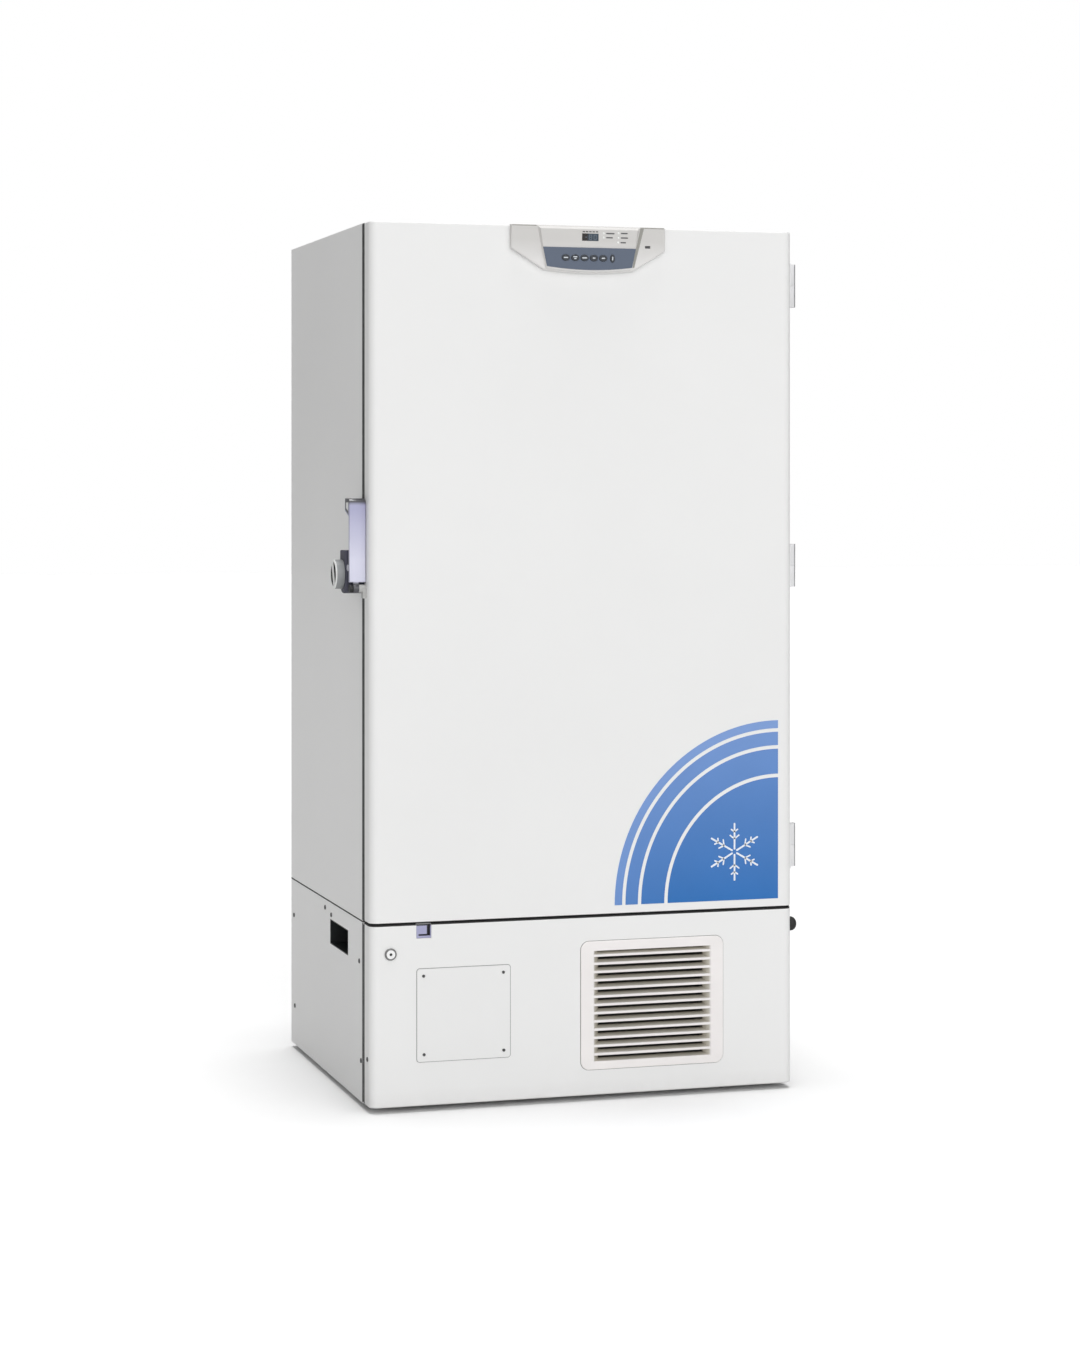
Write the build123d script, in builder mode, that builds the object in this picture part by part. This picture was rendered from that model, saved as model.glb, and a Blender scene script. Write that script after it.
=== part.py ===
from build123d import *
import os
from math import cos, radians, sin

# Upright ultra low temperature freezer, in millimetres. The front faces -Y and +Z is up.
# The origin lies on the floor, under the middle of the outline that the whole freezer fills.

# Cabinet
CABINET_WIDTH = 1010.0
CABINET_DEPTH = 838.0  # door front to cabinet back
CABINET_HEIGHT = 1993.0
SKIRT_GAP = 13.0  # floor to the lower edge of the panels
SPLIT_HEIGHT = 421.5  # middle of the gap between the door and the lower cover
SPLIT_GAP = 4.0
PANEL_SEAM = 2.0  # gap between the shell and the side panels under it
DOOR_THICKNESS = 58.0  # the lower cover is as thick
SEAM_GAP = 10.0  # door back to cabinet front
SHEET = 2.0  # painted steel skins
LINER_SHEET = 2.0
EDGE_RADIUS = 20.0  # upright front edges of the door and the lower cover
RIM_RADIUS = 4.0  # their top and bottom edges
RUN = 0.05  # radial clearance of a pin in its bore
EASE = 0.4  # gap beside a piece that moves or drops in

# Insulated walls, from the outer skin to the chamber
SIDE_WALL = 70.0
TOP_WALL = 84.0
BOTTOM_WALL = 84.0
BACK_WALL = 75.0
BREAKER_DEPTH = 34.0
BREAKER_RADIUS = 6.0
COIL_ROWS = 9
COIL_HEIGHT = 14.0
COIL_THICKNESS = 9.0

# Inside of the chamber
SHELF_COUNT = 3
SHELF_LIP = 14.0
RAIL_SIZE = 18.0
SHELF_BACK_GAP = 8.0
INNER_RECESS = 40.0  # cabinet front to the inner doors
INNER_THICKNESS = 30.0
INNER_END_GAP = 10.0  # above and below each inner door
INNER_SIDE_GAP = 8.0  # beside each inner door
INNER_PIN_INSET = 14.0  # chamber wall to the inner hinge pins
INNER_PIN_RADIUS = 4.0
INNER_PIN_LENGTH = 14.0
INNER_BRACKET = 4.0
INNER_PANEL_BORDER = 40.0
INNER_PANEL_DEPTH = 3.0
LATCH_ARM = 58.0
LATCH_WIDTH = 18.0
LATCH_THICKNESS = 7.0
LATCH_PIN_RADIUS = 5.0
LATCH_PIN_LENGTH = 16.0
LATCH_INSET = 60.0  # inner door's free edge to the latch pin

# Door
PLUG_DEPTH = 30.0  # door back to the face of its plug
PLUG_CLEARANCE = 16.0
GASKET_INSET = 2.5
GASKET_WIDTH = 43.5

# Hinges at the right
HINGE_OFFSET = 17.0  # cabinet side to the pins
HINGE_RADIUS = 14.0
HINGE_LENGTH = 100.0
HINGE_PIN_RADIUS = 6.0
HINGE_TOP_INSET = 121.5  # door top to the middle of the upper hinge
HINGE_BOTTOM_INSET = 136.0
HINGE_LEAF = 4.0
HINGE_LEAF_GAP = 11.0  # pins to the near edge of a leaf
HINGE_CAP = 3.0

# Control panel at the top of the door
PANEL_OFFSET = 3.0  # cabinet middle to panel middle
PANEL_WIDTH = 367.0
PANEL_FOOT = 213.0  # width of the lower edge
PANEL_HEIGHT = 101.0
PANEL_SAG = 7.0
WING_HEIGHT = 54.0
WING_PROUD = 12.0
CONSOLE_PROUD = 18.0
CONSOLE_WIDTH = 248.0
CONSOLE_BEVEL = 8.0
CONSOLE_RIM = 2.5
CONSOLE_INSET = 4.0  # panel's lower edge to the console
KEYPAD_DROP = 50.0  # door top to the keypad's upper edge
KEYPAD_SIDE = 13.5  # console's side to the keypad's upper corner
KEYPAD_FOOT_SIDE = 5.0
KEYPAD_FOOT_GAP = 7.5  # keypad to the panel's lower edge
KEYPAD_SAG = 7.0
KEYPAD_THICKNESS = 2.0
KEY_COUNT = 6
KEY_OFFSET = 1.5  # panel's middle to the middle of the row, to the left
KEY_PITCH = 22.3
KEY_WIDTH = 19.0
KEY_HEIGHT = 14.4
TALL_KEY_WIDTH = 11.5
TALL_KEY_HEIGHT = 18.0
KEY_PROUD = 1.6
KEY_ROOT = 3.0  # how far a key reaches into the housing
KEY_TRAVEL = 1.2
WINDOW_OFFSET = 2.0
WINDOW_DROP = 26.0
WINDOW_WIDTH = 39.5
WINDOW_HEIGHT = 17.0
WINDOW_THICKNESS = 2.0
PORT_INSET = 42.0  # panel's right edge to the port
PORT_DROP = 45.0
PORT_WIDTH = 13.0
PORT_HEIGHT = 6.0
PORT_DEPTH = 8.0

# Handle and lock at the left
LEVER_REACH = 38.0  # cabinet side to the lever's outer edge
LEVER_GAP = 1.5  # cabinet side to the lever's inner edge
LEVER_SETBACK = 22.0  # lever's front face to the door's back
LEVER_THICKNESS = 10.0
LEVER_DROP = 17.0  # lock knob to the lever's lower edge
LEVER_LENGTH = 188.0
LEVER_HEAD_DEPTH = 46.0
LEVER_HEAD_HEIGHT = 28.0
LEVER_HEAD_SLOPE = 12.0
LEVER_TOP_RADIUS = 16.0
LEVER_CORNER_RADIUS = 4.0
LEVER_EYE_WIDTH = 12.0
LEVER_EYE_RADIUS = 9.0
LEVER_PIN_RADIUS = 4.0
LEVER_PIN_DROP = 14.0  # lever's lower edge to its pin
BRACKET_BASE = 8.0
BRACKET_DEPTH = 19.0
BRACKET_DROP = 22.0  # pin to the lower end of the bracket
LOCK_REACH = 43.0
LOCK_GAP = 2.5  # door back to the lock body
LOCK_DEPTH = 51.5
LOCK_DROP = 43.0  # lock knob to the lower end of the lock body
LOCK_HEIGHT = 97.0
LOCK_RADIUS = 4.0
KNOB_RADIUS = 33.0
KNOB_LENGTH = 20.0
KNOB_SETBACK = 30.5  # lock body's front to the knob's axis
KNOB_HEIGHT = 1203.0
KNOB_PIN_RADIUS = 6.0
KNOB_PIN_LENGTH = 20.0
KNOB_BAR = 13.0
KNOB_RIM = 6.0
KNOB_POCKET = 12.0
KNOB_TILT = -20.0  # degrees that its bar leans at rest

# Lower front cover
COVER_PIN_INSET = 12.0  # cabinet side to the cover's hinge pins
COVER_PIN_SETBACK = 6.0  # door back plane to the pins
COVER_PIN_RADIUS = 4.0
COVER_PIN_RISE = 1.0
COVER_ARM = 4.0
COVER_ARM_WIDTH = 14.0
COVER_ARM_RUN = 30.0
GRILLE_LEFT_INSET = 492.5  # cabinet's left side to the grille
GRILLE_RIGHT_INSET = 172.5
GRILLE_FOOT = 58.0  # cover's lower edge to the grille
GRILLE_HEAD = 55.5
GRILLE_RADIUS = 20.0
GRILLE_PROUD = 3.0
GRILLE_EDGE = 2.0
GRILLE_GAP = 1.0  # cover's cut-out to the grille
GRILLE_FLANGE = 3.0  # behind the cover's sheet
GRILLE_LAP = 7.0
GRILLE_DEPTH = 18.0
FIELD_SIDE = 30.0  # grille edge to the louvred field
FIELD_FOOT = 15.0
FIELD_HEAD = 22.0
FIELD_TAPER = 20.0  # how far each side wall of the field leans in
BLADE_COUNT = 14
BLADE_FOOT = 13.5  # grille edge to the lowest blade
BLADE_HEAD = 35.75  # grille edge to the highest blade's foot
BLADE_NOSE = 5.0
BLADE_RISE = 7.5
BLADE_THICKNESS = 3.0
BLADE_SETBACK = 1.0  # grille face to the blades' noses
PLATE_INSET = 108.0  # cabinet's left side to the recorder plate
PLATE_WIDTH = 217.0
PLATE_FOOT = 99.0  # cover's lower edge to the plate
PLATE_HEAD = 99.5
PLATE_RADIUS = 6.0
PLATE_THICKNESS = 1.5
PLATE_LAP = 22.0
CATCH_INSET = 124.0  # cabinet's left side to the latch
CATCH_WIDTH = 34.0
CATCH_TALL = 28.0
CATCH_DEPTH = 16.0
CATCH_SETBACK = 1.0
CATCH_HEAD_GAP = 2.5  # latch top to the cover's upper edge
CATCH_WALL = 2.0
CATCH_RIM = 5.0  # below and left of the finger slot
CATCH_SLOT = 8.0
CATCH_SLOT_DEPTH = 9.0
KEYLOCK_INSET = 47.0  # cabinet's left side to the key lock
KEYLOCK_DROP = 63.5  # cover's upper edge to the key lock
KEYLOCK_RADIUS = 13.5
KEYLOCK_PROUD = 4.0
KEYLOCK_BARREL = 9.0
KEYLOCK_LENGTH = 28.0
KEYLOCK_CAM = 30.0
KEYLOCK_CAM_WIDTH = 12.0
KEYLOCK_CAM_THICKNESS = 3.0
STRIKE_SHEET = 3.0
STRIKE_WIDTH = 20.0
STRIKE_DROP = 10.0  # keylock middle to the strike's lower edge
STRIKE_RISE = 20.0  # keylock middle to the strike's arm
BUMPER_RADIUS = 16.5
BUMPER_REACH = 19.0
BUMPER_ROUND = 0.8  # share of the radius that its end is rounded by
BUMPER_DROP = 40.5  # cover's upper edge to the bumper

# Machine compartment
PANEL_FLANGE = 15.0
BASE_HEIGHT = 84.0  # floor to the underside of the base plate
BASE_PLATE = 4.0
POST_SIZE = 40.0
POST_SHEET = 4.0
HEADER_HEIGHT = 40.0
APRON_GAP = 4.0  # cabinet front to the apron and the front posts
VENT_COLUMNS = 2
VENT_ROWS = 7
VENT_WIDTH = 300.0
VENT_HEIGHT = 10.0
VENT_PITCH_X = 420.0
VENT_PITCH_Z = 30.0
SWITCH_SETBACK = 214.0  # door front to the switch recess
SWITCH_LENGTH = 186.0
SWITCH_DROP = 39.5  # panel's upper edge to the recess
SWITCH_TALL = 58.5
SWITCH_DEPTH = 60.0
ROCKER_LENGTH = 44.0
ROCKER_TALL = 30.0
ROCKER_THICKNESS = 8.0
ROCKER_PIN_RADIUS = 3.0
ROCKER_EAR = 5.0
ROCKER_STANDOFF = 14.0
CONDENSER_SETBACK = 24.0
CONDENSER_WIDTH = 330.0
CONDENSER_HEAD = 64.5  # cabinet floor to the condenser
CONDENSER_DEPTH = 44.0
FIN_COUNT = 22
FIN_DEPTH = 10.0
FIN_SHARE = 0.5  # share of the pitch that a fin fills
BEND_COUNT = 4
BEND_TUBE = 5.0
FILTER_THICKNESS = 8.0
FILTER_BORDER = 12.0
FILTER_SCREEN = 2.0
SHROUD_DEPTH = 46.0
SHROUD_SHEET = 3.0
FAN_BORDER = 19.0  # fan to the shroud's edge
FAN_TIP_GAP = 5.0
FAN_HUB_RADIUS = 28.0
FAN_HUB_LENGTH = 30.0
FAN_BLADES = 5
FAN_CHORD = 62.0
FAN_BLADE = 2.5
FAN_PITCH = 28.0
FAN_SHAFT_RADIUS = 4.0
MOTOR_RADIUS = 44.0
MOTOR_LENGTH = 70.0
MOTOR_ARM = 14.0
COMPRESSOR_RADIUS = 100.0
COMPRESSOR_HEAD = 72.5  # cabinet floor to the compressors
COMPRESSOR_INSET_X = 260.0
COMPRESSOR_INSET_Y = 180.0
COMPRESSOR_FOOT = 8.0
COMPRESSOR_DOME = 50.0
COMPRESSOR_SEAM = 132.0  # shell's foot to its welded seam
FOOT_PLATE_LENGTH = 220.0
FOOT_PLATE_WIDTH = 170.0
FOOT_PLATE_RADIUS = 20.0
GROMMET_PITCH_X = 180.0
GROMMET_PITCH_Y = 130.0
GROMMET_RADIUS = 14.0
TERMINAL_WIDTH = 66.0
TERMINAL_PROUD = 25.0
TERMINAL_ROOT = 20.0  # how far the terminal box reaches into the shell
GROMMET_HEIGHT = 14.0
BOX_SETBACK = 70.0
BOX_INSET = 80.0
BOX_WIDTH = 220.0
BOX_DEPTH = 150.0
BOX_TALL = 200.0
BOX_LID = 6.0

# Running gear
WHEEL_WIDTH = 24.0
WHEEL_CROWN = 1.8
WHEEL_GAP = 4.0  # tread to the fork's bridge
WHEEL_WEB_RADIUS = 13.5
WHEEL_HUB_RADIUS = 12.0
WHEEL_LIFT = 2.0  # front wheels clear of the floor while the feet are down
AXLE_RADIUS = 5.0
FORK_SHEET = 4.0
FORK_GAP = 2.0
FORK_PLATE = 44.0
CASTER_TRAIL = 16.0
KINGPIN_RADIUS = 7.0
CASTER_PLATE = 16.0  # rear fork to the base
CASTER_INSET_X = 100.0
FRONT_CASTER_SETBACK = 170.0
REAR_CASTER_INSET = 110.0
FOOT_RADIUS = 25.0
FOOT_HEIGHT = 12.0
FOOT_STEM_RADIUS = 8.0
FOOT_INSET_X = 70.0
FOOT_SETBACK = 52.0
FOOT_BOSS_RADIUS = 15.0
FOOT_BOSS_LENGTH = 30.0

# Wall brackets at the back
WALL_REACH = 25.0
WALL_SPACING = 700.0
WALL_DROP = 193.0  # cabinet top to the brackets
WALL_WIDTH = 60.0
WALL_TALL = 50.0
WALL_SHEET = 5.0
WALL_HOLE_RADIUS = 6.5

# Planes and lines that the pieces share
LEFT_REACH = LOCK_REACH + EASE + KNOB_LENGTH
RIGHT_REACH = HINGE_OFFSET + HINGE_RADIUS
CENTRE = (LEFT_REACH - RIGHT_REACH) / 2
LEFT = CENTRE - CABINET_WIDTH / 2
RIGHT = CENTRE + CABINET_WIDTH / 2
FRONT = (CONSOLE_PROUD + KEYPAD_THICKNESS + KEY_PROUD - CABINET_DEPTH - WALL_REACH) / 2
SEAM = FRONT + DOOR_THICKNESS
BODY_FRONT = SEAM + SEAM_GAP
BACK = FRONT + CABINET_DEPTH
TOP = CABINET_HEIGHT
DOOR_BOTTOM = SPLIT_HEIGHT + SPLIT_GAP / 2
COVER_TOP = SPLIT_HEIGHT - SPLIT_GAP / 2
SHELL_BOTTOM = SPLIT_HEIGHT + PANEL_SEAM / 2
PANEL_TOP = SPLIT_HEIGHT - PANEL_SEAM / 2
COVER_TALL = COVER_TOP - SKIRT_GAP
CHAMBER_LEFT = LEFT + SIDE_WALL
CHAMBER_RIGHT = RIGHT - SIDE_WALL
CHAMBER_BOTTOM = SHELL_BOTTOM + BOTTOM_WALL
CHAMBER_TOP = TOP - TOP_WALL
CHAMBER_BACK = BACK - BACK_WALL
CHAMBER_MIDDLE = (CHAMBER_BOTTOM + CHAMBER_TOP) / 2
LINER_FRONT = BODY_FRONT + BREAKER_DEPTH
INNER_FRONT = BODY_FRONT + INNER_RECESS
SHELF_FRONT = INNER_FRONT + INNER_THICKNESS + SHELF_BACK_GAP
SHELF_BACK = CHAMBER_BACK - SHELF_BACK_GAP
BASE_TOP = BASE_HEIGHT + BASE_PLATE


def level(z):
    """Sketch plane at height z: local x is X and local y is Y."""
    return Plane.XY.offset(z)


def facing_front(y):
    """Sketch plane at depth y that faces the viewer: local x is X and local y is Z."""
    return Plane.XZ.offset(-y)


def facing_right(x):
    """Sketch plane at x that faces right: local x is Y and local y is Z."""
    return Plane.YZ.offset(x)


def span(low, high, mode=Mode.ADD):
    """Rectangle between two corners of the sketch plane."""
    with Locations(((low[0] + high[0]) / 2, (low[1] + high[1]) / 2)):
        Rectangle(high[0] - low[0], high[1] - low[1], mode=mode)


def block(x, y, z, mode=Mode.ADD):
    """Block that fills three spans, each given as its low and high end."""
    with Locations(((x[0] + x[1]) / 2, (y[0] + y[1]) / 2, (z[0] + z[1]) / 2)):
        Box(x[1] - x[0], y[1] - y[0], z[1] - z[0], mode=mode)


def upright(x, y, z, radius, mode=Mode.ADD):
    """Cylinder along Z over the span z."""
    with Locations((x, y, (z[0] + z[1]) / 2)):
        Cylinder(radius, z[1] - z[0], mode=mode)


def crosswise(x, y, z, radius, mode=Mode.ADD):
    """Cylinder along X over the span x."""
    with Locations(((x[0] + x[1]) / 2, y, z)):
        Cylinder(radius, x[1] - x[0], rotation=(0, 90, 0), mode=mode)


def inward(x, y, z, radius, mode=Mode.ADD):
    """Cylinder along Y over the span y."""
    with Locations((x, (y[0] + y[1]) / 2, z)):
        Cylinder(radius, y[1] - y[0], rotation=(90, 0, 0), mode=mode)


def front_block(bottom, top, inset):
    """Solid form of the door or the lower cover, set in from its outer faces and flat at the back."""
    with BuildPart() as form:
        with BuildSketch(level(bottom + inset)):
            span((LEFT + inset, FRONT + inset), (RIGHT - inset, SEAM))
        extrude(amount=top - bottom - 2 * inset)
        fillet(form.edges().filter_by(Axis.Z).group_by(Axis.Y)[0], EDGE_RADIUS - inset)
        rims = form.faces().filter_by(Axis.Z).edges()
        fillet(rims - form.faces().sort_by(Axis.Y)[-1].edges(), RIM_RADIUS - inset)
    return form.part


# Cabinet: outer shell, breaker frame, liner, evaporator and foam
with BuildPart() as outer_shell:
    with BuildSketch(level(SHELL_BOTTOM)):
        span((LEFT, BODY_FRONT), (RIGHT, BACK))
    extrude(amount=TOP - SHELL_BOTTOM)
    offset(amount=-SHEET, openings=outer_shell.faces().sort_by(Axis.Y)[0])

SHELL_LOW = (LEFT + SHEET, SHELL_BOTTOM + SHEET)
SHELL_HIGH = (RIGHT - SHEET, TOP - SHEET)
LINER_LOW = (CHAMBER_LEFT - LINER_SHEET, CHAMBER_BOTTOM - LINER_SHEET)
LINER_HIGH = (CHAMBER_RIGHT + LINER_SHEET, CHAMBER_TOP + LINER_SHEET)
LINER_BACK = CHAMBER_BACK + LINER_SHEET

with BuildPart() as breaker_frame:
    with BuildSketch(facing_front(LINER_FRONT)):
        span(SHELL_LOW, SHELL_HIGH)
        span((CHAMBER_LEFT, CHAMBER_BOTTOM), (CHAMBER_RIGHT, CHAMBER_TOP), mode=Mode.SUBTRACT)
    extrude(amount=BREAKER_DEPTH)
    mouth = breaker_frame.faces().sort_by(Axis.Y)[0].inner_wires()[0]
    fillet(mouth.edges(), BREAKER_RADIUS)

with BuildPart() as chamber_liner:
    with BuildSketch(facing_front(LINER_BACK)):
        span(LINER_LOW, LINER_HIGH)
    extrude(amount=LINER_BACK - LINER_FRONT)
    offset(amount=-LINER_SHEET, openings=chamber_liner.faces().sort_by(Axis.Y)[0])

COIL_FRONT = SHELF_FRONT
COIL_PITCH = (LINER_HIGH[1] - LINER_LOW[1]) / COIL_ROWS

with BuildPart() as evaporator_coil:
    for row in range(COIL_ROWS):
        row_bottom = LINER_LOW[1] + (row + 0.5) * COIL_PITCH - COIL_HEIGHT / 2
        with BuildSketch(level(row_bottom)):
            span(
                (LINER_LOW[0] - COIL_THICKNESS, COIL_FRONT),
                (LINER_HIGH[0] + COIL_THICKNESS, LINER_BACK + COIL_THICKNESS),
            )
            span((LINER_LOW[0], COIL_FRONT), (LINER_HIGH[0], LINER_BACK), mode=Mode.SUBTRACT)
        extrude(amount=COIL_HEIGHT)
        if row > 0:
            wall = LINER_LOW[0] - COIL_THICKNESS if row % 2 else LINER_HIGH[0]
            block(
                (wall, wall + COIL_THICKNESS),
                (COIL_FRONT, COIL_FRONT + COIL_HEIGHT),
                (row_bottom - COIL_PITCH, row_bottom + COIL_HEIGHT),
            )

with BuildPart() as cabinet_insulation:
    with BuildSketch(facing_front(BACK - SHEET)):
        span(SHELL_LOW, SHELL_HIGH)
    extrude(amount=BACK - SHEET - LINER_FRONT)
    with BuildSketch(facing_front(LINER_BACK)):
        span(LINER_LOW, LINER_HIGH)
    extrude(amount=LINER_BACK - LINER_FRONT, mode=Mode.SUBTRACT)
    add(evaporator_coil.part, mode=Mode.SUBTRACT)

# Shelves on rails
SHELF_PITCH = (CHAMBER_TOP - CHAMBER_BOTTOM) / (SHELF_COUNT + 1)
SHELF_HEIGHTS = [CHAMBER_BOTTOM + SHELF_PITCH * (place + 1) for place in range(SHELF_COUNT)]

with BuildPart() as shelf_rails:
    for shelf_z in SHELF_HEIGHTS:
        for wall, inside in ((CHAMBER_LEFT, 1), (CHAMBER_RIGHT, -1)):
            with BuildSketch(facing_front(SHELF_BACK)):
                with BuildLine():
                    Polyline(
                        (wall, shelf_z),
                        (wall + inside * RAIL_SIZE, shelf_z),
                        (wall + inside * RAIL_SIZE, shelf_z - SHEET),
                        (wall + inside * SHEET, shelf_z - SHEET),
                        (wall + inside * SHEET, shelf_z - RAIL_SIZE),
                        (wall, shelf_z - RAIL_SIZE),
                        close=True,
                    )
                make_face()
            extrude(amount=SHELF_BACK - SHELF_FRONT)

with BuildPart() as shelves:
    for shelf_z in SHELF_HEIGHTS:
        with BuildSketch(facing_right(CHAMBER_LEFT + EASE)):
            span((SHELF_FRONT, shelf_z), (SHELF_BACK, shelf_z + SHELF_LIP))
            span(
                (SHELF_FRONT + SHEET, shelf_z + SHEET),
                (SHELF_BACK - SHEET, shelf_z + SHELF_LIP),
                mode=Mode.SUBTRACT,
            )
        extrude(amount=CHAMBER_RIGHT - CHAMBER_LEFT - 2 * EASE)

# Inner doors, hung on pins at the right wall of the chamber
INNER_PIN_X = CHAMBER_RIGHT - INNER_PIN_INSET
INNER_PIN_Y = INNER_FRONT + INNER_PIN_INSET / 2
INNER_LEFT = CHAMBER_LEFT + INNER_SIDE_GAP
INNER_RIGHT = CHAMBER_RIGHT - INNER_SIDE_GAP
INNER_SPANS = {
    "upper": (CHAMBER_MIDDLE + INNER_END_GAP, CHAMBER_TOP - INNER_END_GAP),
    "lower": (CHAMBER_BOTTOM + INNER_END_GAP, CHAMBER_MIDDLE - INNER_END_GAP),
}
LATCH_X = INNER_LEFT + LATCH_INSET


def inner_door(z):
    """Insulated panel with a sunk front field, bores for its hinge pins and one for its latch."""
    with BuildPart() as panel:
        with BuildSketch(level(z[0])):
            span((INNER_LEFT, INNER_FRONT), (INNER_RIGHT, INNER_FRONT + INNER_THICKNESS))
        extrude(amount=z[1] - z[0])
        fillet(panel.edges().filter_by(Axis.Z), INNER_PIN_INSET - INNER_SIDE_GAP)
        with BuildSketch(facing_front(INNER_FRONT)):
            span(
                (LATCH_X + INNER_PANEL_BORDER, z[0] + INNER_PANEL_BORDER),
                (INNER_RIGHT - INNER_PANEL_BORDER, z[1] - INNER_PANEL_BORDER),
            )
        extrude(amount=-INNER_PANEL_DEPTH, mode=Mode.SUBTRACT)
        bore = INNER_PIN_RADIUS + RUN
        depth = INNER_PIN_LENGTH + EASE
        upright(INNER_PIN_X, INNER_PIN_Y, (z[0], z[0] + depth), bore, mode=Mode.SUBTRACT)
        upright(INNER_PIN_X, INNER_PIN_Y, (z[1] - depth, z[1]), bore, mode=Mode.SUBTRACT)
        inward(
            LATCH_X,
            (INNER_FRONT, INNER_FRONT + LATCH_PIN_LENGTH + EASE),
            (z[0] + z[1]) / 2,
            LATCH_PIN_RADIUS + RUN,
            mode=Mode.SUBTRACT,
        )
    return panel


def inner_latch(z):
    """Turn latch with its arm up, so that it is free of the chamber wall."""
    middle = (z[0] + z[1]) / 2
    with BuildPart() as latch:
        with BuildSketch(facing_front(INNER_FRONT - EASE)):
            with Locations((LATCH_X, middle + LATCH_ARM / 2)):
                SlotCenterToCenter(LATCH_ARM, LATCH_WIDTH, rotation=90)
        extrude(amount=LATCH_THICKNESS)
        fillet(latch.faces().sort_by(Axis.Y)[0].edges(), LATCH_THICKNESS / 4)
        inward(LATCH_X, (INNER_FRONT - EASE, INNER_FRONT + LATCH_PIN_LENGTH), middle, LATCH_PIN_RADIUS)
    return latch


inner_door_upper = inner_door(INNER_SPANS["upper"])
inner_door_lower = inner_door(INNER_SPANS["lower"])
inner_latch_upper = inner_latch(INNER_SPANS["upper"])
inner_latch_lower = inner_latch(INNER_SPANS["lower"])

# Outer door: skin, foam, liner with its plug, and gasket
PLUG_LOW = (CHAMBER_LEFT + PLUG_CLEARANCE, CHAMBER_BOTTOM + PLUG_CLEARANCE)
PLUG_HIGH = (CHAMBER_RIGHT - PLUG_CLEARANCE, CHAMBER_TOP - PLUG_CLEARANCE)

with BuildPart() as door_skin:
    add(front_block(DOOR_BOTTOM, TOP, 0))
    add(front_block(DOOR_BOTTOM, TOP, SHEET), mode=Mode.SUBTRACT)

with BuildPart() as door_liner:
    with BuildSketch(facing_front(SEAM)):
        with Locations((CENTRE, (DOOR_BOTTOM + TOP) / 2)):
            RectangleRounded(
                CABINET_WIDTH - 2 * SHEET, TOP - DOOR_BOTTOM - 2 * SHEET, RIM_RADIUS - SHEET
            )
        span(PLUG_LOW, PLUG_HIGH, mode=Mode.SUBTRACT)
    extrude(amount=LINER_SHEET)
    with BuildSketch(facing_front(SEAM + PLUG_DEPTH)):
        span(PLUG_LOW, PLUG_HIGH)
    extrude(amount=PLUG_DEPTH + LINER_SHEET)
    with BuildSketch(facing_front(SEAM + PLUG_DEPTH - LINER_SHEET)):
        span(
            (PLUG_LOW[0] + LINER_SHEET, PLUG_LOW[1] + LINER_SHEET),
            (PLUG_HIGH[0] - LINER_SHEET, PLUG_HIGH[1] - LINER_SHEET),
        )
    extrude(amount=PLUG_DEPTH, mode=Mode.SUBTRACT)

with BuildPart() as door_insulation:
    add(front_block(DOOR_BOTTOM, TOP, SHEET))
    with BuildSketch(facing_front(SEAM + PLUG_DEPTH)):
        span(PLUG_LOW, PLUG_HIGH)
    extrude(amount=PLUG_DEPTH)
    add(door_liner.part, mode=Mode.SUBTRACT)

with BuildPart() as door_gasket:
    with BuildSketch(facing_front(BODY_FRONT - EASE)):
        ring_low = (LEFT + GASKET_INSET, DOOR_BOTTOM + GASKET_INSET)
        ring_high = (RIGHT - GASKET_INSET, TOP - GASKET_INSET)
        span(ring_low, ring_high)
        span(
            (ring_low[0] + GASKET_WIDTH, ring_low[1] + GASKET_WIDTH),
            (ring_high[0] - GASKET_WIDTH, ring_high[1] - GASKET_WIDTH),
            mode=Mode.SUBTRACT,
        )
    extrude(amount=SEAM_GAP - EASE)

# Hinges: the cabinet leaves carry the pins, the door leaves turn on them
HINGE_X = RIGHT + HINGE_OFFSET
HINGE_Y = SEAM + SEAM_GAP / 2
HINGE_LOWEST = DOOR_BOTTOM + HINGE_BOTTOM_INSET
HINGE_HIGHEST = TOP - HINGE_TOP_INSET
HINGE_HEIGHTS = (HINGE_LOWEST, (HINGE_LOWEST + HINGE_HIGHEST) / 2, HINGE_HIGHEST)
HALF_HINGE = HINGE_LENGTH / 2
LEAF_LENGTH = DOOR_THICKNESS + SEAM_GAP / 2 - EDGE_RADIUS - HINGE_LEAF_GAP

with BuildPart() as door_hinge_leaves:
    for hinge_z in HINGE_HEIGHTS:
        knuckle = (hinge_z + EASE, hinge_z + HALF_HINGE)
        block(
            (RIGHT, RIGHT + HINGE_LEAF),
            (HINGE_Y - HINGE_LEAF_GAP - LEAF_LENGTH, HINGE_Y - HINGE_LEAF_GAP),
            (hinge_z - HALF_HINGE, hinge_z + HALF_HINGE),
        )
        block((RIGHT, HINGE_X), (HINGE_Y - HINGE_RADIUS, HINGE_Y - SEAM_GAP / 2), knuckle)
        upright(HINGE_X, HINGE_Y, knuckle, HINGE_RADIUS)
        bore = (hinge_z, hinge_z + HALF_HINGE - HINGE_CAP)
        upright(HINGE_X, HINGE_Y, bore, HINGE_PIN_RADIUS + RUN, mode=Mode.SUBTRACT)

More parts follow.
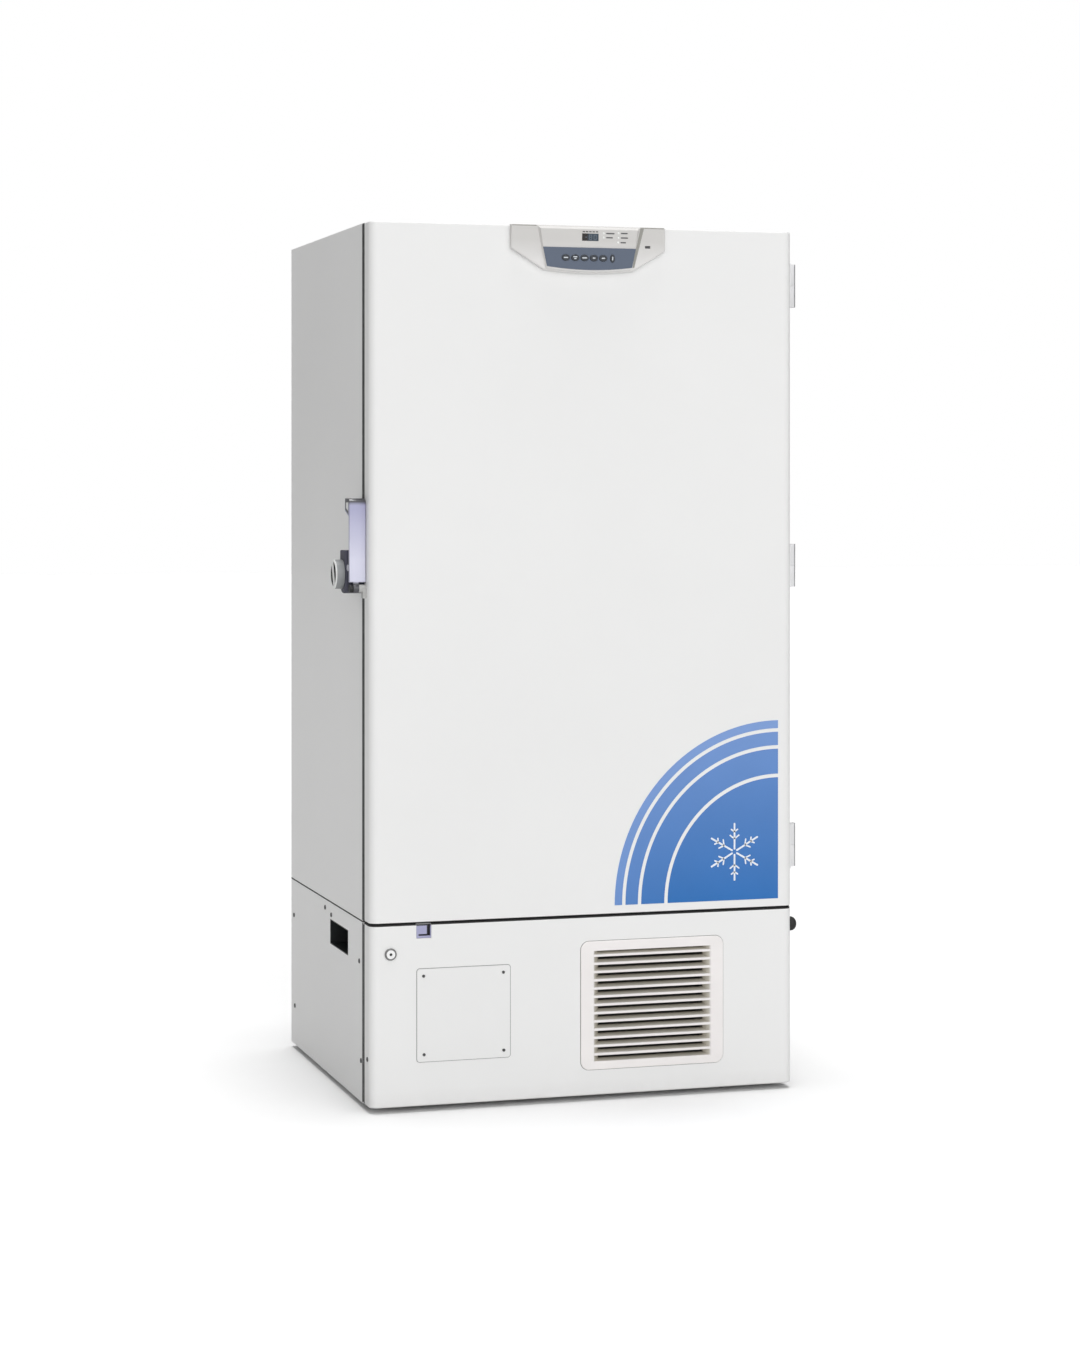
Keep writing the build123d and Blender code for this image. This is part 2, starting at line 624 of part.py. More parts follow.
with BuildPart() as cabinet_hinges:
    for hinge_z in HINGE_HEIGHTS:
        knuckle = (hinge_z - HALF_HINGE, hinge_z)
        block(
            (RIGHT, RIGHT + HINGE_LEAF),
            (HINGE_Y + HINGE_LEAF_GAP, HINGE_Y + HINGE_LEAF_GAP + LEAF_LENGTH),
            (hinge_z - HALF_HINGE, hinge_z + HALF_HINGE),
        )
        block((RIGHT, HINGE_X), (HINGE_Y + SEAM_GAP / 2, HINGE_Y + HINGE_RADIUS), knuckle)
        upright(HINGE_X, HINGE_Y, knuckle, HINGE_RADIUS)
        pin = (hinge_z, hinge_z + HALF_HINGE - HINGE_CAP - EASE)
        upright(HINGE_X, HINGE_Y, pin, HINGE_PIN_RADIUS)
    for low, high in INNER_SPANS.values():
        for end, outward in ((low, -1), (high, 1)):
            near = end + outward * EASE
            far = near + outward * INNER_BRACKET
            tip = end - outward * INNER_PIN_LENGTH
            block(
                (INNER_PIN_X - INNER_PIN_INSET / 2, CHAMBER_RIGHT),
                (INNER_PIN_Y - INNER_PIN_INSET / 2, INNER_PIN_Y + INNER_PIN_INSET / 2),
                (min(near, far), max(near, far)),
            )
            upright(INNER_PIN_X, INNER_PIN_Y, (min(near, tip), max(near, tip)), INNER_PIN_RADIUS)

# Control panel: housing with wings and a raised console, keypad plate, window and keys
PANEL_X = CENTRE + PANEL_OFFSET
CONSOLE_FRONT = FRONT - CONSOLE_PROUD
CONSOLE_FOOT = PANEL_FOOT - 2 * CONSOLE_INSET
CONSOLE_BOTTOM = TOP - PANEL_HEIGHT + CONSOLE_INSET
KEYPAD_TOP = TOP - KEYPAD_DROP
KEYPAD_BOTTOM = TOP - PANEL_HEIGHT + KEYPAD_FOOT_GAP
KEYPAD_WIDTH = CONSOLE_WIDTH - 2 * KEYPAD_SIDE
KEYPAD_FOOT = PANEL_FOOT - 2 * KEYPAD_FOOT_SIDE
KEY_Z = (KEYPAD_TOP + KEYPAD_BOTTOM - KEYPAD_SAG / 2) / 2
KEY_X = PANEL_X - KEY_OFFSET
KEY_XS = [KEY_X + KEY_PITCH * (place - (KEY_COUNT - 1) / 2) for place in range(KEY_COUNT)]
KEY_SIZES = [(KEY_WIDTH, KEY_HEIGHT)] * (KEY_COUNT - 1) + [(TALL_KEY_WIDTH, TALL_KEY_HEIGHT)]


def console_outline(width, foot, top, bottom, sag):
    """Four sided outline about the panel's middle, with a lower edge that bows down."""
    with BuildSketch() as outline:
        with BuildLine():
            Polyline(
                (PANEL_X - foot / 2, bottom),
                (PANEL_X - width / 2, top),
                (PANEL_X + width / 2, top),
                (PANEL_X + foot / 2, bottom),
            )
            ThreePointArc(
                (PANEL_X + foot / 2, bottom), (PANEL_X, bottom - sag), (PANEL_X - foot / 2, bottom)
            )
        make_face()
    return outline.sketch


with BuildPart() as control_housing:
    with BuildSketch(facing_front(FRONT)):
        with BuildLine():
            Polyline(
                (PANEL_X - PANEL_FOOT / 2, TOP - PANEL_HEIGHT),
                (PANEL_X - PANEL_WIDTH / 2, TOP - WING_HEIGHT),
                (PANEL_X - PANEL_WIDTH / 2, TOP),
                (PANEL_X + PANEL_WIDTH / 2, TOP),
                (PANEL_X + PANEL_WIDTH / 2, TOP - WING_HEIGHT),
                (PANEL_X + PANEL_FOOT / 2, TOP - PANEL_HEIGHT),
            )
            ThreePointArc(
                (PANEL_X + PANEL_FOOT / 2, TOP - PANEL_HEIGHT),
                (PANEL_X, TOP - PANEL_HEIGHT - PANEL_SAG),
                (PANEL_X - PANEL_FOOT / 2, TOP - PANEL_HEIGHT),
            )
        make_face()
    extrude(amount=WING_PROUD)
    fillet(control_housing.faces().sort_by(Axis.Y)[0].edges(), CONSOLE_RIM)
    with BuildSketch(facing_front(FRONT - WING_PROUD + CONSOLE_RIM)):
        add(console_outline(CONSOLE_WIDTH, CONSOLE_FOOT, TOP, CONSOLE_BOTTOM, PANEL_SAG))
    with BuildSketch(facing_front(CONSOLE_FRONT)):
        face_width = CONSOLE_WIDTH - 2 * CONSOLE_BEVEL
        add(console_outline(face_width, CONSOLE_FOOT, TOP - CONSOLE_BEVEL, CONSOLE_BOTTOM, PANEL_SAG))
    loft()
    for key_x, key_size in zip(KEY_XS, KEY_SIZES):
        with BuildSketch(facing_front(CONSOLE_FRONT)):
            with Locations((key_x, KEY_Z)):
                Ellipse(key_size[0] / 2 + EASE, key_size[1] / 2 + EASE)
        extrude(amount=-(KEY_ROOT + KEY_TRAVEL + EASE), mode=Mode.SUBTRACT)
    with BuildSketch(facing_front(CONSOLE_FRONT)):
        with Locations((PANEL_X + WINDOW_OFFSET, TOP - WINDOW_DROP)):
            Rectangle(WINDOW_WIDTH, WINDOW_HEIGHT)
    extrude(amount=-WINDOW_THICKNESS, mode=Mode.SUBTRACT)
    with BuildSketch(facing_front(FRONT - WING_PROUD)):
        with Locations((PANEL_X + PANEL_WIDTH / 2 - PORT_INSET, TOP - PORT_DROP)):
            Rectangle(PORT_WIDTH, PORT_HEIGHT)
    extrude(amount=-PORT_DEPTH, mode=Mode.SUBTRACT)

with BuildPart() as display_window:
    with BuildSketch(facing_front(CONSOLE_FRONT + WINDOW_THICKNESS)):
        with Locations((PANEL_X + WINDOW_OFFSET, TOP - WINDOW_DROP)):
            Rectangle(WINDOW_WIDTH - EASE, WINDOW_HEIGHT - EASE)
    extrude(amount=WINDOW_THICKNESS - EASE)

with BuildPart() as keypad_plate:
    with BuildSketch(facing_front(CONSOLE_FRONT)):
        add(console_outline(KEYPAD_WIDTH, KEYPAD_FOOT, KEYPAD_TOP, KEYPAD_BOTTOM, KEYPAD_SAG))
        for key_x, key_size in zip(KEY_XS, KEY_SIZES):
            with Locations((key_x, KEY_Z)):
                Ellipse(key_size[0] / 2 + EASE, key_size[1] / 2 + EASE, mode=Mode.SUBTRACT)
    extrude(amount=KEYPAD_THICKNESS)


def key(x, size):
    """Oval key that stands proud of the keypad and sinks into its pocket."""
    with BuildPart() as cap:
        with BuildSketch(facing_front(CONSOLE_FRONT + KEY_ROOT)):
            with Locations((x, KEY_Z)):
                Ellipse(size[0] / 2, size[1] / 2)
        extrude(amount=KEY_ROOT + KEYPAD_THICKNESS + KEY_PROUD)
        fillet(cap.faces().sort_by(Axis.Y)[0].edges(), KEY_PROUD / 2)
    return cap


keys = {f"key_{place + 1}": key(KEY_XS[place], KEY_SIZES[place]) for place in range(KEY_COUNT)}

# Handle: lever on a bracket of the door
LEVER_OUT = LEFT - LEVER_REACH
LEVER_IN = LEFT - LEVER_GAP
LEVER_Y = SEAM - LEVER_SETBACK
LEVER_BOTTOM = KNOB_HEIGHT - LEVER_DROP
LEVER_TOP = LEVER_BOTTOM + LEVER_LENGTH
LEVER_BACK = LEVER_Y + LEVER_THICKNESS
LEVER_PIN_Y = LEVER_Y + LEVER_THICKNESS / 2
LEVER_PIN_Z = LEVER_BOTTOM - LEVER_PIN_DROP
EYE_IN = LEFT - BRACKET_BASE - (LEVER_REACH - BRACKET_BASE - LEVER_EYE_WIDTH) / 2
EYE_OUT = EYE_IN - LEVER_EYE_WIDTH

with BuildPart() as handle_lever:
    with BuildSketch(facing_right(LEVER_OUT)):
        with BuildLine():
            head = LEVER_TOP - LEVER_HEAD_HEIGHT
            FilletPolyline(
                (LEVER_Y, LEVER_BOTTOM),
                (LEVER_Y, LEVER_TOP),
                (LEVER_Y + LEVER_HEAD_DEPTH, LEVER_TOP),
                (LEVER_Y + LEVER_HEAD_DEPTH, head),
                (LEVER_BACK, head - LEVER_HEAD_SLOPE),
                (LEVER_BACK, LEVER_BOTTOM),
                radius=[
                    LEVER_THICKNESS / 4,
                    LEVER_TOP_RADIUS,
                    LEVER_CORNER_RADIUS,
                    LEVER_CORNER_RADIUS,
                    LEVER_CORNER_RADIUS,
                    LEVER_THICKNESS / 4,
                ],
                close=True,
            )
        make_face()
    extrude(amount=LEVER_IN - LEVER_OUT)
    with BuildSketch(facing_right(EYE_OUT)):
        with Locations((LEVER_PIN_Y, LEVER_PIN_Z)):
            Circle(LEVER_EYE_RADIUS)
        span(
            (LEVER_PIN_Y - LEVER_THICKNESS / 3, LEVER_PIN_Z),
            (LEVER_PIN_Y + LEVER_THICKNESS / 3, LEVER_BOTTOM + LEVER_THICKNESS),
        )
        with Locations((LEVER_PIN_Y, LEVER_PIN_Z)):
            Circle(LEVER_PIN_RADIUS + RUN, mode=Mode.SUBTRACT)
    extrude(amount=LEVER_EYE_WIDTH)

with BuildPart() as handle_bracket:
    block(
        (LEFT - BRACKET_BASE, LEFT),
        (LEVER_PIN_Y - BRACKET_DEPTH / 2, LEVER_PIN_Y + BRACKET_DEPTH / 2),
        (LEVER_PIN_Z - BRACKET_DROP, LEVER_PIN_Z),
    )
    crosswise((EYE_IN + EASE, LEFT), LEVER_PIN_Y, LEVER_PIN_Z, LEVER_EYE_RADIUS)
    crosswise((LEVER_OUT, EYE_OUT - EASE), LEVER_PIN_Y, LEVER_PIN_Z, LEVER_EYE_RADIUS)
    crosswise((LEVER_OUT, LEFT), LEVER_PIN_Y, LEVER_PIN_Z, LEVER_PIN_RADIUS)

# Lock body on the cabinet's side, with its rotary knob
LOCK_OUT = LEFT - LOCK_REACH
LOCK_Y = SEAM + LOCK_GAP
KNOB_Y = LOCK_Y + KNOB_SETBACK
LOCK_BOTTOM = KNOB_HEIGHT - LOCK_DROP

with BuildPart() as lock_body:
    with BuildSketch(facing_right(LOCK_OUT)):
        with Locations((LOCK_Y + LOCK_DEPTH / 2, LOCK_BOTTOM + LOCK_DEPTH / 2)):
            Circle(LOCK_DEPTH / 2)
        span((LOCK_Y, LOCK_BOTTOM + LOCK_DEPTH / 2), (LOCK_Y + LOCK_DEPTH, LOCK_BOTTOM + LOCK_HEIGHT))
    extrude(amount=LOCK_REACH)
    fillet(lock_body.faces().sort_by(Axis.X)[0].edges(), LOCK_RADIUS)
    crosswise(
        (LOCK_OUT, LOCK_OUT + KNOB_PIN_LENGTH + EASE),
        KNOB_Y,
        KNOB_HEIGHT,
        KNOB_PIN_RADIUS + RUN,
        mode=Mode.SUBTRACT,
    )

KNOB_BACK = LOCK_OUT - EASE
KNOB_END = KNOB_BACK - KNOB_LENGTH

with BuildPart() as lock_knob:
    crosswise((KNOB_END, KNOB_BACK), KNOB_Y, KNOB_HEIGHT, KNOB_RADIUS)
    chamfer(lock_knob.edges().group_by(Axis.X)[0], KNOB_RIM / 3)
    with BuildSketch(facing_right(KNOB_END)):
        with Locations((KNOB_Y, KNOB_HEIGHT)):
            Circle(KNOB_RADIUS - KNOB_RIM)
            Rectangle(KNOB_BAR, 2 * KNOB_RADIUS, rotation=KNOB_TILT, mode=Mode.SUBTRACT)
    extrude(amount=KNOB_POCKET, mode=Mode.SUBTRACT)
    crosswise((KNOB_BACK, LOCK_OUT + KNOB_PIN_LENGTH), KNOB_Y, KNOB_HEIGHT, KNOB_PIN_RADIUS)

# Lower front cover on two pins at the right, with all that rides on it
COVER_PIN_X = RIGHT - COVER_PIN_INSET
COVER_PIN_Y = SEAM - COVER_PIN_SETBACK
GRILLE_X = CENTRE + (GRILLE_LEFT_INSET - GRILLE_RIGHT_INSET) / 2
GRILLE_Z = (SKIRT_GAP + GRILLE_FOOT + COVER_TOP - GRILLE_HEAD) / 2
GRILLE_WIDTH = CABINET_WIDTH - GRILLE_LEFT_INSET - GRILLE_RIGHT_INSET
GRILLE_TALL = COVER_TALL - GRILLE_FOOT - GRILLE_HEAD
BLADE_PITCH = (GRILLE_TALL - BLADE_FOOT - BLADE_HEAD) / (BLADE_COUNT - 1)
PLATE_X = LEFT + PLATE_INSET + PLATE_WIDTH / 2
PLATE_Z = (SKIRT_GAP + PLATE_FOOT + COVER_TOP - PLATE_HEAD) / 2
PLATE_TALL = COVER_TALL - PLATE_FOOT - PLATE_HEAD
CATCH_X = LEFT + CATCH_INSET
CATCH_TOP = COVER_TOP - CATCH_HEAD_GAP
CATCH_BOTTOM = CATCH_TOP - CATCH_TALL
KEYLOCK_X = LEFT + KEYLOCK_INSET
KEYLOCK_Z = COVER_TOP - KEYLOCK_DROP

with BuildPart() as front_cover:
    add(front_block(SKIRT_GAP, COVER_TOP, 0))
    add(front_block(SKIRT_GAP, COVER_TOP, SHEET), mode=Mode.SUBTRACT)
    block(
        (CATCH_X - CATCH_WIDTH / 2 - EASE - CATCH_WALL, CATCH_X + CATCH_WIDTH / 2 + EASE + CATCH_WALL),
        (FRONT + SHEET, FRONT + CATCH_SETBACK + CATCH_DEPTH),
        (CATCH_BOTTOM - EASE - CATCH_WALL, COVER_TOP - SHEET),
    )
    with BuildSketch(facing_front(FRONT)):
        with Locations((GRILLE_X, GRILLE_Z)):
            RectangleRounded(
                GRILLE_WIDTH + 2 * GRILLE_GAP, GRILLE_TALL + 2 * GRILLE_GAP, GRILLE_RADIUS + GRILLE_GAP
            )
        with Locations((PLATE_X, PLATE_Z)):
            Rectangle(PLATE_WIDTH - 2 * PLATE_LAP, PLATE_TALL - 2 * PLATE_LAP)
        with Locations((KEYLOCK_X, KEYLOCK_Z)):
            Circle(KEYLOCK_BARREL + RUN)
    extrude(amount=-SHEET, mode=Mode.SUBTRACT)
    with BuildSketch(facing_front(FRONT)):
        span(
            (CATCH_X - CATCH_WIDTH / 2 - EASE, CATCH_BOTTOM - EASE),
            (CATCH_X + CATCH_WIDTH / 2 + EASE, COVER_TOP),
        )
    extrude(amount=-(CATCH_SETBACK + CATCH_DEPTH), mode=Mode.SUBTRACT)
    upright(COVER_PIN_X, COVER_PIN_Y, (SKIRT_GAP, COVER_TOP), COVER_PIN_RADIUS + RUN, mode=Mode.SUBTRACT)

with BuildPart() as louver_grille:
    for back, size_change, depth in (
        (FRONT + SHEET, 0, SHEET + GRILLE_PROUD),
        (FRONT + SHEET + GRILLE_FLANGE, GRILLE_LAP, GRILLE_FLANGE),
        (FRONT + GRILLE_DEPTH, -GRILLE_LAP, GRILLE_DEPTH - SHEET),
    ):
        with BuildSketch(facing_front(back)):
            with Locations((GRILLE_X, GRILLE_Z)):
                width = GRILLE_WIDTH + 2 * size_change
                RectangleRounded(width, GRILLE_TALL + 2 * size_change, GRILLE_RADIUS + size_change)
        extrude(amount=depth)
    fillet(louver_grille.faces().sort_by(Axis.Y)[0].edges(), GRILLE_EDGE)
    field_x = (GRILLE_X - GRILLE_WIDTH / 2 + FIELD_SIDE, GRILLE_X + GRILLE_WIDTH / 2 - FIELD_SIDE)
    grille_bottom = GRILLE_Z - GRILLE_TALL / 2
    field_z = (grille_bottom + FIELD_FOOT, grille_bottom + GRILLE_TALL - FIELD_HEAD)
    with BuildSketch(facing_front(FRONT - GRILLE_PROUD)):
        span((field_x[0], field_z[0]), (field_x[1], field_z[1]))
    with BuildSketch(facing_front(FRONT + GRILLE_DEPTH)):
        span((field_x[0] + FIELD_TAPER, field_z[0]), (field_x[1] - FIELD_TAPER, field_z[1]))
    loft(mode=Mode.SUBTRACT)
    for blade in range(BLADE_COUNT):
        blade_z = grille_bottom + BLADE_FOOT + BLADE_PITCH * blade
        nose_y = FRONT - GRILLE_PROUD + BLADE_SETBACK
        tail_y = FRONT + GRILLE_DEPTH
        with BuildSketch(facing_right(field_x[0] - GRILLE_GAP)):
            with BuildLine():
                Polyline(
                    (nose_y, blade_z),
                    (nose_y, blade_z + BLADE_NOSE),
                    (tail_y, blade_z + BLADE_NOSE + BLADE_RISE),
                    (tail_y, blade_z + BLADE_NOSE + BLADE_RISE - BLADE_THICKNESS),
                    close=True,
                )
            make_face()
        extrude(amount=field_x[1] - field_x[0] + 2 * GRILLE_GAP)

with BuildPart() as recorder_plate:
    with BuildSketch(facing_front(FRONT)):
        with Locations((PLATE_X, PLATE_Z)):
            RectangleRounded(PLATE_WIDTH, PLATE_TALL, PLATE_RADIUS)
    extrude(amount=PLATE_THICKNESS)

with BuildPart() as cover_latch:
    with BuildSketch(facing_front(FRONT + CATCH_SETBACK)):
        span((CATCH_X - CATCH_WIDTH / 2, CATCH_BOTTOM), (CATCH_X + CATCH_WIDTH / 2, CATCH_TOP))
    extrude(amount=-CATCH_DEPTH)
    fillet(cover_latch.faces().sort_by(Axis.Y)[0].edges(), CATCH_WALL / 2)
    slot_left = CATCH_X - CATCH_WIDTH / 2 + CATCH_RIM
    slot_right = CATCH_X + CATCH_WIDTH / 2 - CATCH_WALL
    slot_foot = CATCH_BOTTOM + CATCH_RIM
    with BuildSketch(facing_front(FRONT + CATCH_SETBACK)):
        span((slot_left, slot_foot), (slot_right, CATCH_TOP))
        tongue_foot = slot_foot + CATCH_SLOT / 2
        span((slot_left, tongue_foot), (slot_right - CATCH_SLOT, CATCH_TOP), mode=Mode.SUBTRACT)
    extrude(amount=-CATCH_SLOT_DEPTH, mode=Mode.SUBTRACT)

with BuildPart() as cover_lock:
    inward(KEYLOCK_X, (FRONT - KEYLOCK_PROUD, FRONT - EASE), KEYLOCK_Z, KEYLOCK_RADIUS)
    fillet(cover_lock.faces().sort_by(Axis.Y)[0].edges(), KEYLOCK_PROUD / 3)
    inward(KEYLOCK_X, (FRONT - EASE, FRONT + KEYLOCK_LENGTH), KEYLOCK_Z, KEYLOCK_BARREL)
    with BuildSketch(facing_front(FRONT + KEYLOCK_LENGTH + KEYLOCK_CAM_THICKNESS)):
        with Locations((KEYLOCK_X, KEYLOCK_Z - KEYLOCK_CAM / 2)):
            SlotCenterToCenter(KEYLOCK_CAM, KEYLOCK_CAM_WIDTH, rotation=90)
    extrude(amount=KEYLOCK_CAM_THICKNESS)

with BuildPart() as side_bumper:
    bumper_x = (RIGHT, RIGHT + BUMPER_REACH)
    crosswise(bumper_x, FRONT + DOOR_THICKNESS / 2, COVER_TOP - BUMPER_DROP, BUMPER_RADIUS)
    fillet(side_bumper.edges().group_by(Axis.X)[-1], BUMPER_RADIUS * BUMPER_ROUND)

# Machine compartment: panels, base frame and the brackets of the cover
POST_LEFT = LEFT + PANEL_FLANGE + EASE
POST_RIGHT = RIGHT - PANEL_FLANGE - EASE
POST_FRONT = BODY_FRONT + APRON_GAP
POST_BACK = BACK - APRON_GAP


def side_panel(outer, inside):
    """Panel with flanges turned in at the front, top and bottom."""
    inner = outer + inside * PANEL_FLANGE
    with BuildPart() as panel:
        with BuildSketch(level(SKIRT_GAP)):
            span((min(outer, inner), BODY_FRONT), (max(outer, inner), BACK))
        extrude(amount=PANEL_TOP - SKIRT_GAP)
        sides = panel.faces().sort_by(Axis.X)
        open_side = sides[-1] if inside > 0 else sides[0]
        offset(amount=-SHEET, openings=[open_side, panel.faces().sort_by(Axis.Y)[-1]])
    return panel


SWITCH_Y = FRONT + SWITCH_SETBACK
SWITCH_BOTTOM = PANEL_TOP - SWITCH_DROP - SWITCH_TALL

with BuildPart() as side_panel_left:
    add(side_panel(LEFT, 1).part)
    block(
        (LEFT, LEFT + SHEET),
        (SWITCH_Y, SWITCH_Y + SWITCH_LENGTH),
        (SWITCH_BOTTOM, SWITCH_BOTTOM + SWITCH_TALL),
        mode=Mode.SUBTRACT,
    )

side_panel_right = side_panel(RIGHT, -1)

with BuildPart() as rear_panel:
    block((LEFT + SHEET, RIGHT - SHEET), (BACK - SHEET, BACK), (SKIRT_GAP + SHEET, PANEL_TOP - SHEET))
    with BuildSketch(facing_front(BACK - SHEET)):
        with Locations((CENTRE, (BASE_TOP + PANEL_TOP) / 2)):
            with GridLocations(VENT_PITCH_X, VENT_PITCH_Z, VENT_COLUMNS, VENT_ROWS):
                SlotOverall(VENT_WIDTH, VENT_HEIGHT)
    extrude(amount=-SHEET, mode=Mode.SUBTRACT)

FOOT_Y = BODY_FRONT + FOOT_SETBACK
FOOT_XS = {"left": LEFT + FOOT_INSET_X, "right": RIGHT - FOOT_INSET_X}

with BuildPart() as base_frame:
    block((LEFT + SHEET, RIGHT - SHEET), (POST_FRONT, BACK - SHEET), (BASE_HEIGHT, BASE_TOP))
    block((POST_LEFT, POST_RIGHT), (POST_FRONT, POST_FRONT + POST_SHEET), (SKIRT_GAP + SHEET, BASE_HEIGHT))
    for post_x, inside in ((POST_LEFT, 1), (POST_RIGHT, -1)):
        for post_y, inner in ((POST_FRONT, 1), (POST_BACK, -1)):
            with BuildSketch(level(BASE_TOP)):
                with BuildLine():
                    Polyline(
                        (post_x, post_y),
                        (post_x + inside * POST_SIZE, post_y),
                        (post_x + inside * POST_SIZE, post_y + inner * POST_SHEET),
                        (post_x + inside * POST_SHEET, post_y + inner * POST_SHEET),
                        (post_x + inside * POST_SHEET, post_y + inner * POST_SIZE),
                        (post_x, post_y + inner * POST_SIZE),
                        close=True,
                    )
                make_face()
            extrude(amount=SHELL_BOTTOM - BASE_TOP)
    block(
        (POST_LEFT, POST_RIGHT),
        (POST_FRONT, POST_FRONT + POST_SHEET),
        (SHELL_BOTTOM - HEADER_HEIGHT, SHELL_BOTTOM),
    )
    strike_x = (POST_LEFT, POST_LEFT + STRIKE_WIDTH)
    strike_y = FRONT + KEYLOCK_LENGTH - EASE
    arm_z = (KEYLOCK_Z + STRIKE_RISE, KEYLOCK_Z + STRIKE_RISE + STRIKE_SHEET)
    block(strike_x, (strike_y - STRIKE_SHEET, POST_FRONT), arm_z)
    block(strike_x, (strike_y - STRIKE_SHEET, strike_y), (KEYLOCK_Z - STRIKE_DROP, arm_z[1]))
    for foot_x in FOOT_XS.values():
        boss = (BASE_HEIGHT - FOOT_BOSS_LENGTH, BASE_TOP)
        upright(foot_x, FOOT_Y, boss, FOOT_BOSS_RADIUS)
        upright(foot_x, FOOT_Y, boss, FOOT_STEM_RADIUS + RUN, mode=Mode.SUBTRACT)

with BuildPart() as cover_hinge_brackets:
    upper = COVER_TOP - SHEET - EASE
    lower = SKIRT_GAP + SHEET + EASE
    for arm, pin in (
        ((upper - COVER_ARM, upper), (upper, COVER_TOP + COVER_PIN_RISE)),
        ((lower, lower + COVER_ARM), (SKIRT_GAP - COVER_PIN_RISE, lower)),
    ):
        heel = COVER_PIN_X - COVER_ARM_RUN
        block(
            (heel - COVER_ARM_WIDTH / 2, COVER_PIN_X),
            (COVER_PIN_Y - COVER_ARM_WIDTH / 2, COVER_PIN_Y + COVER_ARM_WIDTH / 2),
            arm,
        )
        upright(COVER_PIN_X, COVER_PIN_Y, arm, COVER_ARM_WIDTH / 2)
        block((heel - COVER_ARM_WIDTH / 2, heel + COVER_ARM_WIDTH / 2), (COVER_PIN_Y, POST_FRONT), arm)
        upright(COVER_PIN_X, COVER_PIN_Y, pin, COVER_PIN_RADIUS)

# Switch recess in the left panel, with its rocker
with BuildPart() as switch_recess:
    with BuildSketch(facing_right(LEFT)):
        span((SWITCH_Y, SWITCH_BOTTOM), (SWITCH_Y + SWITCH_LENGTH, SWITCH_BOTTOM + SWITCH_TALL))
    extrude(amount=SWITCH_DEPTH)
    offset(amount=-SHEET, openings=switch_recess.faces().sort_by(Axis.X)[0])
    rocker_y = SWITCH_Y + SWITCH_LENGTH / 2
    rocker_x = LEFT + SWITCH_DEPTH - SHEET - ROCKER_STANDOFF
    rocker_z = SWITCH_BOTTOM + SWITCH_TALL / 2
    ear_reach = ROCKER_LENGTH / 2 + EASE
    for ear_y in (rocker_y - ear_reach - ROCKER_EAR, rocker_y + ear_reach):
        block(
            (rocker_x - 2 * ROCKER_PIN_RADIUS, LEFT + SWITCH_DEPTH - SHEET),
            (ear_y, ear_y + ROCKER_EAR),
            (rocker_z - ROCKER_TALL / 2, rocker_z + ROCKER_TALL / 2),
        )
        inward(rocker_x, (ear_y, ear_y + ROCKER_EAR), rocker_z, ROCKER_PIN_RADIUS + RUN, mode=Mode.SUBTRACT)

with BuildPart() as power_rocker:
    with BuildSketch(facing_front(rocker_y + ROCKER_LENGTH / 2)):
        with BuildLine():
            Polyline(
                (rocker_x + ROCKER_THICKNESS / 2, rocker_z - ROCKER_TALL / 4),
                (rocker_x + ROCKER_THICKNESS / 2, rocker_z + ROCKER_TALL / 4),
                (rocker_x - ROCKER_THICKNESS, rocker_z + ROCKER_TALL / 2 - 2 * EASE),
                (rocker_x - ROCKER_THICKNESS / 2, rocker_z),
                (rocker_x - ROCKER_THICKNESS, rocker_z - ROCKER_TALL / 2 + 2 * EASE),
                close=True,
            )
        make_face()
    extrude(amount=ROCKER_LENGTH)
    pin_reach = ROCKER_LENGTH / 2 + ROCKER_EAR
    inward(rocker_x, (rocker_y - pin_reach, rocker_y + pin_reach), rocker_z, ROCKER_PIN_RADIUS)

# Refrigeration: condenser with its filter, fan, compressors and the electrical box
CONDENSER_FRONT = BODY_FRONT + CONDENSER_SETBACK
CONDENSER_BACK = CONDENSER_FRONT + CONDENSER_DEPTH
CONDENSER_LEFT = GRILLE_X - CONDENSER_WIDTH / 2
CONDENSER_RIGHT = GRILLE_X + CONDENSER_WIDTH / 2
CONDENSER_TOP = SHELL_BOTTOM - CONDENSER_HEAD
CONDENSER_TALL = CONDENSER_TOP - BASE_TOP

with BuildPart() as condenser:
    core = (CONDENSER_FRONT + FIN_DEPTH, CONDENSER_BACK - FIN_DEPTH)
    block((CONDENSER_LEFT, CONDENSER_RIGHT), core, (BASE_TOP, CONDENSER_TOP))
    fin_pitch = CONDENSER_WIDTH / FIN_COUNT
    for fin in range(FIN_COUNT):
        fin_x = CONDENSER_LEFT + fin_pitch * (fin + (1 - FIN_SHARE) / 2)
        block(
            (fin_x, fin_x + fin_pitch * FIN_SHARE),
            (CONDENSER_FRONT, CONDENSER_BACK),
            (BASE_TOP, CONDENSER_TOP),
        )
    bend_pitch = CONDENSER_TALL / BEND_COUNT
    for bend in range(BEND_COUNT):
        bend_z = BASE_TOP + bend_pitch * (bend + 0.5)
        end = (CONDENSER_RIGHT, sum(core) / 2, bend_z + bend_pitch / 4)
        with BuildSketch(Plane(origin=end, z_dir=(1, 0, 0))):
            Circle(BEND_TUBE)
        revolve(axis=Axis((CONDENSER_RIGHT, sum(core) / 2, bend_z), (0, -1, 0)), revolution_arc=-180)

